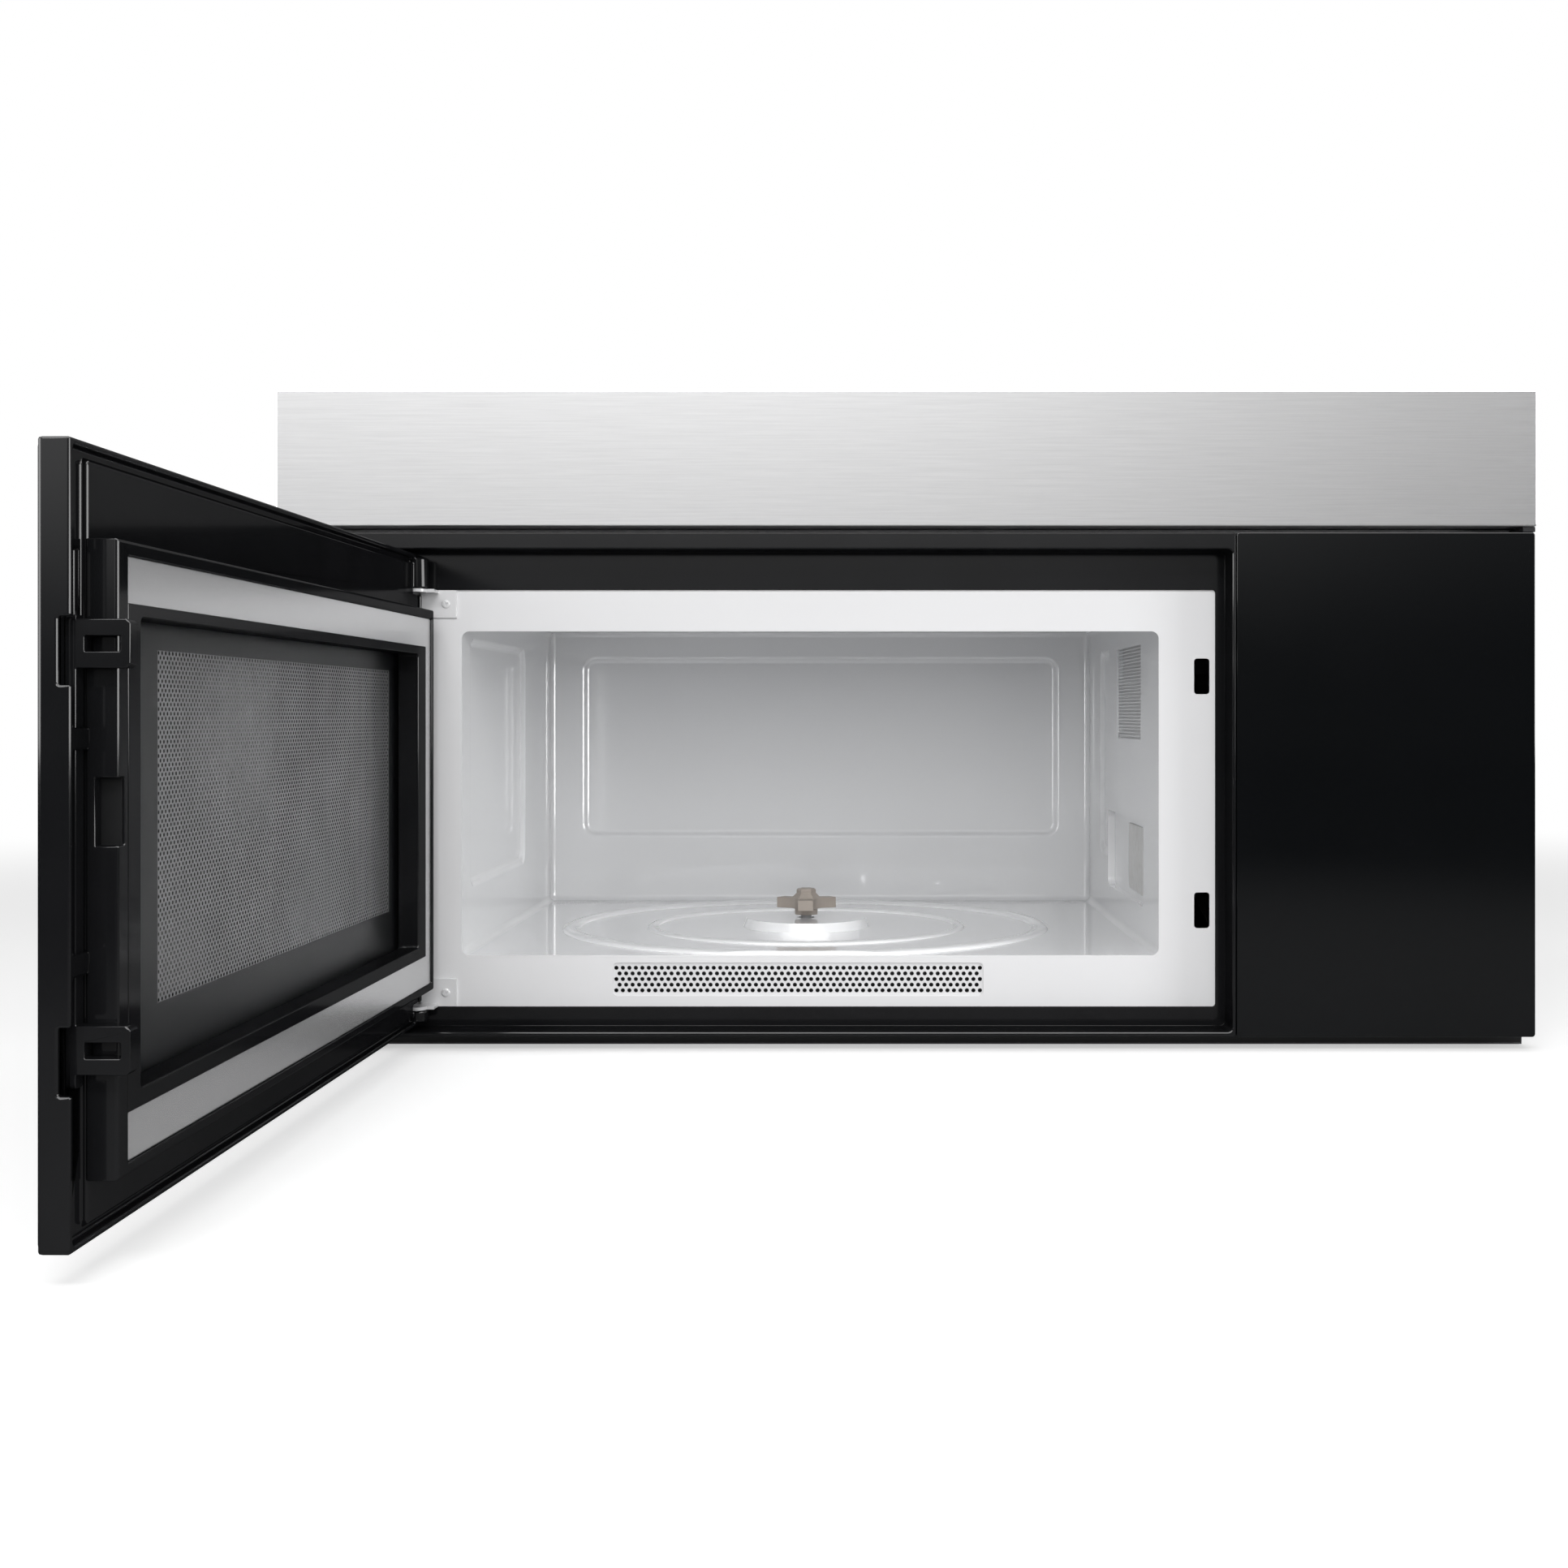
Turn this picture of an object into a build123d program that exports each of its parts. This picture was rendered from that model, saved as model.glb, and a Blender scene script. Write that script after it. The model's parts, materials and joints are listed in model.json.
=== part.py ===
"""Over the range microwave oven with a side-hinged door, shown open.

Millimetres. The origin is the middle of the wall face, level with the underside. +X is to the right, +Z up,
and the front faces -Y. The front's heights start at the case's underside, and its depths at the front face.
"""

import os
from math import cos, radians, sin

from build123d import *

os.makedirs("parts", exist_ok=True)

# ---- driving dimensions ----------------------------------------------------------------------------------
BODY_WIDTH = 759.0
BODY_HEIGHT = 398.0
BODY_DEPTH = 400.0
SHEET = 1.0  # pressed steel
WALL = 2.5  # moulded plastic

FASCIA_HEIGHT = 82.0
FASCIA_HEM = 14.0
FASCIA_CORNER = 1.5
CARRIER_BAYS = 12
BAY_STOP = 6.0  # from the carrier's cross walls to the front plate
BAY_SLOT = 8.0
SHADOW_GAP = 3.4  # between the steel band and the black front
FRONT_BASE = 8.6  # the black front starts this far above the underside

POCKET_DEPTH = 26.0  # from the front face to the front plate
TOP_BAR = 10.0
SILL = 2.9
DIVIDER = 2.0
FRONT_CORNER = 2.0
POCKET_CORNER = 3.0
FRAME_BEVEL = 0.6
LIP = 1.5
LIP_TOP = 23.2
LIP_SIDE = 5.8
LIP_BOTTOM = 11.7
LIP_HINGE = 8.5

CONTROL_WIDTH = 179.8
CONTROL_EDGE = 0.9
CONTROL_GAP = 0.4
GLASS = 4.0
GLASS_BEVEL = 0.5
BOARD = 1.6
BOARD_SIDES = 24.0  # what the panel is wider than its board
BOARD_ENDS = 60.0
STANDOFF = 6.0
STANDOFF_SIDE = 8.0
RELAY = 9.0  # height on the board
TERMINAL_HEIGHT = 9.5
CAPACITOR_RADIUS = 8.0

DOOR_WIDTH = 502.0
DOOR_GAP = 2.4
HINGE_GAP = 3.5
DOOR_FRAME = 12.0  # depth of the outer frame
DOOR_THICKNESS = 22.5
DOOR_OPEN = 91.0
TAIL = 11.0  # from the pin to the hinge edge
PIN_DEPTH = 12.0  # from the door's outer face to the pin
PIN_RADIUS = 3.0
PIN_CLEARANCE = 0.05
PIN_LENGTH = 13.0
HINGE_ARM = 2.0
ARM_CLEARANCE = 1.3  # in the door, under each arm
HINGE_LEAF = 1.5
HINGE_TOP_DROP = 21.0  # from the door's top edge to the upper arm
HINGE_BASE_RISE = 9.5  # from the door's bottom edge to the lower arm
LEAF_HEIGHT = 17.0
LEAF_WIDTH = 22.0
ARM_END = 5.5
RIVET_RADIUS = 2.0
FREE_EDGE = 2.5  # rounding of the door's outer edges
HINGE_EDGE = 8.0
RIM = 3.0
LAND = 11.0  # depth of the frame's inner land
GROOVE = 2.5
PAN_DEPTH = 6.5  # of the perforated panel behind the door's outer face
PAN_SHEET = 0.8
PANE = 3.0
BEZEL_LAP = 2.3
CHOKE_EDGE = 5.0
CHOKE_BEVEL = 0.8
STILE = 9.0
WINDOW_CORNER = 2.0
NOTCH_RISE = 1.5  # of the stile's notch above the middle of the latch
NOTCH_HEIGHT = 24.5

CAVITY_DEPTH = 345.0
CAVITY_CORNER = 4.5
CAVITY_LAP_HINGE = 35.0  # the door overlaps the opening by this much on each side
CAVITY_LAP_FREE = 38.0
CAVITY_LAP_TOP = 46.2
CAVITY_LAP_BOTTOM = 40.7
CEILING_RISE = 14.0
PRESSING = 3.0  # depth of the pressed panels
PRESSING_SLOPE = 45.0
PANEL_CORNER = 10.0
GUIDE_DEPTH = 5.0  # of the pocket for the waveguide's cover
GUIDE_CORNER = 6.0
GUIDE_HEIGHT = 122.0
GUIDE_WIDTH = 28.0
COVER_LENGTH = 87.0
COVER_GAP = 5.0
TURNTABLE_SHIFT = 6.5
TURNTABLE_FORWARD = 9.5
HUB_RADIUS = 44.0
HUB_RISE = 6.0
HUB_SLOPE = 20.0
SHAFT_RADIUS = 3.5
SHAFT_CLEARANCE = 0.05
SHAFT_SEAT = 7.7  # how far the turntable's shaft enters its motor
TURNTABLE_MOTOR_RADIUS = 25.0
TURNTABLE_MOTOR_HEIGHT = 18.0
COUPLER_GAP = 2.2  # between the hub and the coupler
COUPLER_COLLAR = 4.2  # height of the coupler's collar, under its arms
COUPLER_BORE = 10.0
COLLAR_RADIUS = 8.0
ARM_RADIUS = 21.0
ARM_WIDTH = 10.4
ARM_THICK = 7.2
BOSS_FLARE = 3.6
BOSS_HEIGHT = 6.8  # above the arms
BOSS_RADIUS = 6.8

LATCH_SPREAD = 0.503  # the hooks' spacing, as a share of the door's height
LATCH_INSET = 11.5  # from the door's free edge to the middle of the lever
LATCH_SLOT_HEIGHT = 22.0
LATCH_SLOT_WIDTH = 9.5
SLOT_CORNER = 2.0
LEVER_END = 12.0  # of the lever beyond its hooks' middles
HOOK_HEIGHT = 17.5
HOOK_WINDOW = 5.6
HOOK_WIDTH = 7.0
HOOK_REACH = 30.0  # from the door's outer face to the hook's tip

VENT_PITCH = 4.0
VENT_HOLE = 2.5
VENT_COLUMNS = 56
VENT_ROWS = 5
VENT_MARGIN = 2.0
VENT_SHIFT = 7.5
VENT_RISE = 0.9

DUCT_WIDTH = 254.0  # a 10 by 3 1/4 inch exhaust duct
DUCT_DEPTH = 82.6
DUCT_SETBACK = 41.4  # from the wall to the duct
COLLAR_HEIGHT = 22.0
COLLAR_FLANGE = 12.0
FLAP_RISE = 6.0  # of the damper's pins above the case
FLAP_PIN = 1.5
WHEEL_RADIUS = 46.0
WHEEL_WIDTH = 58.0
WHEEL_BLADES = 12
WHEEL_PLATE = 2.0
WHEEL_HUB = 9.0
HUB_LENGTH = 14.0
BLADE_CHORD = 12.0
BLADE_LEAN = 35.0
SCROLL_X = 90.0
SCROLL_GAP = 7.0  # between a wheel and its scroll
SCROLL_DROP = 8.0
BLOWER_MOTOR_RADIUS = 36.0
BLOWER_MOTOR_END = 12.0  # from the motor's end to the scroll
BLOWER_FOOT = 6.0
FAN_RADIUS = 52.0
FAN_BLADES = 5
FAN_PITCH = 28.0
FAN_TIP_GAP = 4.0
FAN_HEIGHT = 150.0
FAN_MOTOR_LENGTH = 20.0
BOLT_SPACING = 508.0
BOLT_RADIUS = 3.5
WALL_HOOK_SETIN = 190.0  # from the case's side to the wall hook slots
WALL_HOOK_RISE = 22.0
CORD_SETIN = 60.0
CORD_SETBACK = 45.0
CORD_RADIUS = 5.5
GROMMET_RADIUS = 9.0
GROMMET_FLANGE = 13.0

FILTER_X = 0.22  # as a share of the case's width
FILTER_Y = -118.0
FILTER_WIDTH = 236.0
FILTER_DEPTH = 156.0
FILTER_HEIGHT = 8.0
FILTER_RIM = 12.0
FILTER_RIBS = 5
LAMP_SETBACK = 52.0  # from the front plate to the middle of the cooktop lamp
LAMP_WIDTH = 166.0
LAMP_DEPTH = 60.0
LAMP_EDGE = 3.0
LAMP_HOUSING = 22.0
BULB_RADIUS = 6.0
AIR_SLOTS = 8
FLANGE = 14.0

SHELF_TOP = 24.0
MAGNETRON_WIDTH = 78.0
MAGNETRON_LENGTH = 80.0
MAGNETRON_BELOW = 40.0  # of its yoke under the antenna
MAGNETRON_ABOVE = 28.0
MAGNETRON_FINS = 6
FIN_PITCH = 6.5
FILTER_BOX = 24.0
ANTENNA_RADIUS = 9.0
CORE_WIDTH = 100.0
CORE_STACK = 68.0
CORE_HEIGHT = 70.0
CORE_WINDOW = 20.0
CORE_FOOT = 5.0
LIMB = 34.0
CAPACITOR_LENGTH = 90.0
CAPACITOR_DEPTH = 34.0
CAPACITOR_HEIGHT = 54.0

LAMP_LEVEL = 16.0  # of the oven lamp below the top of the opening
LAMP_REACH = 44.0  # from the cavity's wall to the lamp's socket
LAMP_HOLDER = 24.0

# ---- places worked out from them -------------------------------------------------------------------------
half = BODY_WIDTH / 2
front_y = -BODY_DEPTH
plate_y = front_y + POCKET_DEPTH
fascia_bottom = BODY_HEIGHT - FASCIA_HEIGHT
frame_top = fascia_bottom - SHADOW_GAP

control_right = half - CONTROL_EDGE
control_left = control_right - CONTROL_WIDTH
frame_right = control_left - CONTROL_GAP
pocket_right = frame_right - DIVIDER
pocket_top = frame_top - TOP_BAR
pocket_bottom = FRONT_BASE + SILL

door_right = pocket_right - DOOR_GAP
door_left = door_right - DOOR_WIDTH
door_top = pocket_top - DOOR_GAP
door_bottom = pocket_bottom + DOOR_GAP
pocket_left = door_left - HINGE_GAP
pin_x = door_left + TAIL
pin_y = front_y + PIN_DEPTH
arm_top = door_top - HINGE_TOP_DROP
arm_bottom = door_bottom + HINGE_BASE_RISE

cavity_left = door_left + CAVITY_LAP_HINGE
cavity_right = door_right - CAVITY_LAP_FREE
opening_top = door_top - CAVITY_LAP_TOP
cavity_floor = door_bottom + CAVITY_LAP_BOTTOM
cavity_ceiling = opening_top + CEILING_RISE
cavity_back = plate_y + CAVITY_DEPTH
cavity_middle = (cavity_left + cavity_right) / 2
turntable_x = cavity_middle - TURNTABLE_SHIFT
turntable_y = (plate_y + cavity_back) / 2 - TURNTABLE_FORWARD
hub_top = cavity_floor + HUB_RISE

latch_x = door_right - LATCH_INSET
latch_middle = (opening_top + cavity_floor) / 2
latch_spacing = (door_top - door_bottom) * LATCH_SPREAD
slot_levels = [latch_middle - latch_spacing / 2, latch_middle + latch_spacing / 2]
swing = radians(-DOOR_OPEN)


# ---- planes and small helpers ----------------------------------------------------------------------------
def front_plane(y):
    """Upright plane at depth y, drawn as seen from the front. Extrusions run towards the front."""
    return Plane(origin=(0, y, 0), x_dir=(1, 0, 0), z_dir=(0, -1, 0))


def side_plane(x):
    """Upright plane across the oven, drawn in depth and height. Extrusions run to the right."""
    return Plane(origin=(x, 0, 0), x_dir=(0, 1, 0), z_dir=(1, 0, 0))


def door_plane(depth):
    """The shut door's plane at a depth behind its outer face, swung open with all that is drawn on it."""
    x = 0 - pin_x
    y = front_y + depth - pin_y
    origin = (pin_x + x * cos(swing) - y * sin(swing), pin_y + x * sin(swing) + y * cos(swing), 0)
    return Plane(origin=origin, x_dir=(cos(swing), sin(swing), 0), z_dir=(sin(swing), -cos(swing), 0))


door_outwards = Axis((pin_x, pin_y, 0), (sin(swing), -cos(swing), 0))
door_free_end = Axis((pin_x, pin_y, 0), (cos(swing), sin(swing), 0))


def rect(low_x, high_x, low_z, high_z, radius=0.0, mode=Mode.ADD):
    """A rectangle between its edges, in the sketch that is being drawn."""
    with Locations(((low_x + high_x) / 2, (low_z + high_z) / 2)):
        if radius > 0:
            RectangleRounded(high_x - low_x, high_z - low_z, radius, mode=mode)
        else:
            Rectangle(high_x - low_x, high_z - low_z, mode=mode)


# ---- front of the case -----------------------------------------------------------------------------------
with BuildPart() as top_fascia:
    with BuildSketch(front_plane(front_y)):
        rect(-half, half, fascia_bottom, BODY_HEIGHT, FASCIA_CORNER)
    extrude(amount=-POCKET_DEPTH)
    fillet(top_fascia.faces().sort_by(Axis.Y)[0].edges(), SHEET)
    with BuildSketch(front_plane(front_y + SHEET)):
        rect(-half + SHEET, half - SHEET, fascia_bottom + SHEET, BODY_HEIGHT - SHEET)
    extrude(amount=-POCKET_DEPTH, mode=Mode.SUBTRACT)
    # the lower return is only a hem, so that air can leave through the shadow gap behind it
    with BuildSketch(front_plane(front_y + FASCIA_HEM)):
        rect(-half + SHEET, half - SHEET, fascia_bottom - SHEET, fascia_bottom + 2 * SHEET)
    extrude(amount=-POCKET_DEPTH, mode=Mode.SUBTRACT)

bay_pitch = (BODY_WIDTH - 2 * SHEET - WALL) / CARRIER_BAYS
with BuildPart() as fascia_carrier:
    with BuildSketch(front_plane(front_y + SHEET)):
        rect(-half + SHEET, half - SHEET, fascia_bottom + SHEET, BODY_HEIGHT - SHEET)
    extrude(amount=SHEET - POCKET_DEPTH)
    with BuildSketch(front_plane(front_y + SHEET + WALL)):
        with Locations((0, fascia_bottom + FASCIA_HEIGHT / 2)):
            with GridLocations(bay_pitch, 0, CARRIER_BAYS, 1):
                Rectangle(bay_pitch - WALL, FASCIA_HEIGHT - 2 * SHEET - 2 * WALL)
    extrude(amount=-POCKET_DEPTH, mode=Mode.SUBTRACT)
    # the cross walls stop short of the front plate
    with BuildSketch(front_plane(plate_y - BAY_STOP)):
        rect(
            -half + SHEET + WALL,
            half - SHEET - WALL,
            fascia_bottom + SHEET + WALL,
            BODY_HEIGHT - SHEET - WALL,
        )
    extrude(amount=-BAY_STOP, mode=Mode.SUBTRACT)
    # air outlet slots in its floor, behind the hem
    with BuildSketch(Plane.XY.offset(fascia_bottom + SHEET)):
        with Locations((0, (front_y + FASCIA_HEM + plate_y) / 2)):
            with GridLocations(bay_pitch, 0, CARRIER_BAYS, 1):
                Rectangle(bay_pitch - 4 * WALL, BAY_SLOT)
    extrude(amount=WALL, mode=Mode.SUBTRACT)

with BuildPart() as front_frame:
    with BuildSketch(front_plane(front_y)):
        rect(-half, frame_right, FRONT_BASE, frame_top, FRONT_CORNER)
        rect(pocket_left, pocket_right, pocket_bottom, pocket_top, POCKET_CORNER, Mode.SUBTRACT)
    extrude(amount=-POCKET_DEPTH)
    chamfer(front_frame.faces().sort_by(Axis.Y)[0].edges(), FRAME_BEVEL)
    # the stile beside the hinge is hollow behind, with cross ribs
    stile_width = half + pocket_left - 2 * WALL
    stile_bay = (frame_top - FRONT_BASE - WALL) / 4
    with BuildSketch(front_plane(front_y + WALL)):
        with Locations(((pocket_left - half) / 2, (frame_top + FRONT_BASE) / 2)):
            with GridLocations(0, stile_bay, 1, 4):
                Rectangle(stile_width, stile_bay - WALL)
    extrude(amount=-POCKET_DEPTH, mode=Mode.SUBTRACT)
    # a thin lip closes the pocket against the front plate
    with BuildSketch(front_plane(plate_y)):
        rect(pocket_left - WALL, pocket_right + DIVIDER / 2, pocket_bottom - SILL / 2, pocket_top + WALL)
        rect(
            pocket_left + LIP_HINGE,
            pocket_right - LIP_SIDE,
            pocket_bottom + LIP_BOTTOM,
            pocket_top - LIP_TOP,
            FRONT_CORNER,
            Mode.SUBTRACT,
        )
    extrude(amount=LIP)

with BuildPart() as control_housing:
    with BuildSketch(front_plane(front_y + GLASS)):
        rect(control_left, half, FRONT_BASE, frame_top, FRONT_CORNER)
    extrude(amount=GLASS - POCKET_DEPTH)
    with BuildSketch(front_plane(front_y + GLASS + WALL)):
        rect(control_left + WALL, half - WALL, FRONT_BASE + WALL, frame_top - WALL)
    extrude(amount=-POCKET_DEPTH, mode=Mode.SUBTRACT)
    # standoffs for the board
    board_x = (control_left + half) / 2
    board_z = (FRONT_BASE + frame_top) / 2
    board_width = CONTROL_WIDTH - BOARD_SIDES
    board_height = frame_top - FRONT_BASE - BOARD_ENDS
    board_y = front_y + GLASS + WALL + STANDOFF
    with BuildSketch(front_plane(front_y + GLASS + WALL)):
        with Locations((board_x, board_z)):
            with GridLocations(board_width - 2 * STANDOFF, board_height - 2 * STANDOFF, 2, 2):
                Rectangle(STANDOFF_SIDE, STANDOFF_SIDE)
    extrude(amount=-STANDOFF)

with BuildPart() as control_glass:
    with BuildSketch(front_plane(front_y)):
        rect(control_left, control_right, FRONT_BASE, frame_top, FRONT_CORNER)
    extrude(amount=-GLASS)
    chamfer(control_glass.faces().sort_by(Axis.Y)[0].edges(), GLASS_BEVEL)

with BuildPart() as control_board:
    with BuildSketch(front_plane(board_y)):
        with Locations((board_x, board_z)):
            Rectangle(board_width, board_height)
    extrude(amount=-BOARD)

relay_y = board_y + BOARD
with BuildPart() as board_components:
    # three relays, a mains transformer, two capacitors and a terminal block
    with BuildSketch(front_plane(relay_y)):
        with Locations((board_x - 45, board_z + 60)):
            with GridLocations(0, 30, 1, 3):
                Rectangle(19, 16)
    extrude(amount=-RELAY)
    with BuildSketch(front_plane(relay_y)):
        with Locations((board_x + 25, board_z - 50)):
            Rectangle(42, 36)
        with Locations((board_x - 30, board_z - 70)):
            Rectangle(34, 14)
    extrude(amount=-TERMINAL_HEIGHT)
    with BuildSketch(front_plane(relay_y)):
        with Locations((board_x + 20, board_z + 40), (board_x + 44, board_z + 40)):
            Circle(CAPACITOR_RADIUS)
    extrude(amount=-RELAY)

# ---- front plate and its vent ----------------------------------------------------------------------------
vent_width = VENT_COLUMNS * VENT_PITCH
vent_row = VENT_PITCH * sin(radians(60))
vent_height = (VENT_ROWS - 1) * vent_row + VENT_HOLE
vent_x = cavity_middle - VENT_SHIFT
vent_z = (cavity_floor + pocket_bottom + LIP_BOTTOM) / 2 + VENT_RISE
vent_open = (vent_width + 2 * VENT_MARGIN, vent_height + 2 * VENT_MARGIN)
vent_sheet = (vent_width + 4 * VENT_MARGIN, vent_height + 4 * VENT_MARGIN)

with BuildPart() as front_plate:
    with BuildSketch(front_plane(plate_y)):
        rect(-half + SHEET, half - SHEET, SHEET, BODY_HEIGHT - SHEET)
        rect(cavity_left, cavity_right, cavity_floor, opening_top, CAVITY_CORNER, Mode.SUBTRACT)
        rect(control_left + 14, half - 14, FRONT_BASE + 15, frame_top - 17, mode=Mode.SUBTRACT)
        rect(-half + 30, half - 30, fascia_bottom + 12, BODY_HEIGHT - 12, mode=Mode.SUBTRACT)
        with Locations((vent_x, vent_z)):
            RectangleRounded(*vent_open, POCKET_CORNER, mode=Mode.SUBTRACT)
        for level in slot_levels:
            with Locations((latch_x, level)):
                RectangleRounded(LATCH_SLOT_WIDTH, LATCH_SLOT_HEIGHT, SLOT_CORNER, mode=Mode.SUBTRACT)
    extrude(amount=-SHEET)

with BuildPart() as front_vent_grille:
    # lies behind the opening; its round holes are too many for this model
    with BuildSketch(front_plane(plate_y + SHEET)):
        with Locations((vent_x, vent_z)):
            RectangleRounded(*vent_sheet, POCKET_CORNER)
    extrude(amount=-SHEET)

# ---- cooking cavity --------------------------------------------------------------------------------------
back_panel = (cavity_left + 26, cavity_right - 25, cavity_floor + 51.4, opening_top - 6.3)
side_panel = (plate_y + 27, cavity_back - 120, cavity_floor + 40, opening_top - 4)
rib_panel = (cavity_back - 121, cavity_back - 69, cavity_floor + 45, opening_top - 4)
guide_pocket = (plate_y + 62, plate_y + 232, cavity_floor + 23, cavity_floor + 78)
guide_hole = (plate_y + 82, plate_y + 137, cavity_floor + 36, cavity_floor + 68)

with BuildPart() as cavity_space:
    with BuildSketch(side_plane(cavity_left)):
        rect(plate_y, cavity_back, cavity_floor, cavity_ceiling)
    extrude(amount=cavity_right - cavity_left)
    mouth = cavity_space.faces().sort_by(Axis.Y)[0].edges()
    fillet(cavity_space.edges() - mouth, CAVITY_CORNER)

with BuildPart() as cavity_shell:
    with BuildSketch(side_plane(cavity_left - SHEET)):
        rect(plate_y + SHEET, cavity_back + SHEET, cavity_floor - SHEET, cavity_ceiling + SHEET)
    extrude(amount=cavity_right - cavity_left + 2 * SHEET)
    add(cavity_space.part, mode=Mode.SUBTRACT)
    # pressed panels: a pad outside, and inside it a pocket with sloping sides
    for plane, wall, step, outline, outwards in (
        (front_plane, cavity_back, SHEET, back_panel, -PRESSING),
        (side_plane, cavity_left, -SHEET, side_panel, -PRESSING),
        (side_plane, cavity_right, SHEET, rib_panel, PRESSING),
    ):
        with BuildSketch(plane(wall + step)):
            rect(*outline, PANEL_CORNER)
        extrude(amount=outwards)
        with BuildSketch(plane(wall)):
            rect(*outline, PANEL_CORNER)
        extrude(amount=outwards, taper=PRESSING_SLOPE, mode=Mode.SUBTRACT)
    # pocket for the waveguide cover, with the waveguide's mouth in its floor
    with BuildSketch(side_plane(cavity_right)):
        rect(
            guide_pocket[0] - SHEET,
            guide_pocket[1] + SHEET,
            guide_pocket[2] - SHEET,
            guide_pocket[3] + SHEET,
            GUIDE_CORNER + SHEET,
        )
    extrude(amount=GUIDE_DEPTH + SHEET)
    with BuildSketch(side_plane(cavity_right - SHEET)):
        rect(*guide_pocket, GUIDE_CORNER)
    extrude(amount=GUIDE_DEPTH + SHEET, mode=Mode.SUBTRACT)
    with BuildSketch(side_plane(cavity_right)):
        rect(*guide_hole)
    extrude(amount=2 * GUIDE_DEPTH, mode=Mode.SUBTRACT)
    # raised hub under the turntable's coupler
    with BuildSketch(Plane.XY.offset(cavity_floor)):
        with Locations((turntable_x, turntable_y)):
            Circle(HUB_RADIUS)
    extrude(amount=HUB_RISE, taper=HUB_SLOPE)
    with BuildSketch(Plane.XY.offset(cavity_floor - SHEET)):
        with Locations((turntable_x, turntable_y)):
            Circle(HUB_RADIUS - HUB_RISE * sin(radians(HUB_SLOPE)) - SHEET)
    extrude(amount=HUB_RISE, mode=Mode.SUBTRACT)
    with BuildSketch(Plane.XY.offset(cavity_floor)):
        with Locations((turntable_x, turntable_y)):
            Circle(SHAFT_RADIUS + 2.5)
    extrude(amount=2 * HUB_RISE, mode=Mode.SUBTRACT)

with BuildPart() as waveguide_cover:
    with BuildSketch(side_plane(cavity_right + GUIDE_DEPTH)):
        cover_start = guide_pocket[0] + COVER_GAP
        cover_end = cover_start + COVER_LENGTH
        rect(cover_start, cover_end, guide_pocket[2] + COVER_GAP, guide_pocket[3] - COVER_GAP, 2)
    extrude(amount=-SHEET)

guide_x = cavity_right + GUIDE_DEPTH + SHEET
guide_low = guide_pocket[2]
guide_high = guide_low + GUIDE_HEIGHT
magnetron_y = plate_y + 109
magnetron_z = guide_high - MAGNETRON_ABOVE

with BuildPart() as waveguide:
    with BuildSketch(side_plane(guide_x)):
        rect(guide_pocket[0], guide_pocket[0] + 94, guide_low, guide_high)
    extrude(amount=GUIDE_WIDTH)
    offset(amount=-SHEET, openings=waveguide.faces().sort_by(Axis.X)[0])
    with BuildSketch(side_plane(guide_x)):
        with Locations((magnetron_y, magnetron_z)):
            Circle(14)
    extrude(amount=2 * GUIDE_WIDTH, mode=Mode.SUBTRACT)

# ---- turntable drive -------------------------------------------------------------------------------------
coupler_low = hub_top + COUPLER_GAP
arms_low = coupler_low + COUPLER_COLLAR
shaft_low = cavity_floor - 2 * SHEET - SHAFT_SEAT

with BuildPart() as turntable_motor:
    with BuildSketch(Plane.XY.offset(cavity_floor - SHEET)):
        with Locations((turntable_x, turntable_y)):
            Rectangle(2 * HUB_RADIUS + 16, 14)
            Circle(TURNTABLE_MOTOR_RADIUS)
            Circle(SHAFT_RADIUS + 2, mode=Mode.SUBTRACT)
    extrude(amount=-SHEET)
    with BuildSketch(Plane.XY.offset(cavity_floor - 2 * SHEET)):
        with Locations((turntable_x, turntable_y)):
            Circle(TURNTABLE_MOTOR_RADIUS)
    extrude(amount=-TURNTABLE_MOTOR_HEIGHT)
    with BuildSketch(Plane.XY.offset(cavity_floor - 2 * SHEET)):
        with Locations((turntable_x, turntable_y)):
            Circle(SHAFT_RADIUS + SHAFT_CLEARANCE)
    extrude(amount=-SHAFT_SEAT - 0.3, mode=Mode.SUBTRACT)

with BuildPart() as turntable_shaft:
    with BuildSketch(Plane.XY.offset(shaft_low)):
        with Locations((turntable_x, turntable_y)):
            Circle(SHAFT_RADIUS)
    extrude(amount=coupler_low + COUPLER_BORE - shaft_low)

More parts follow.
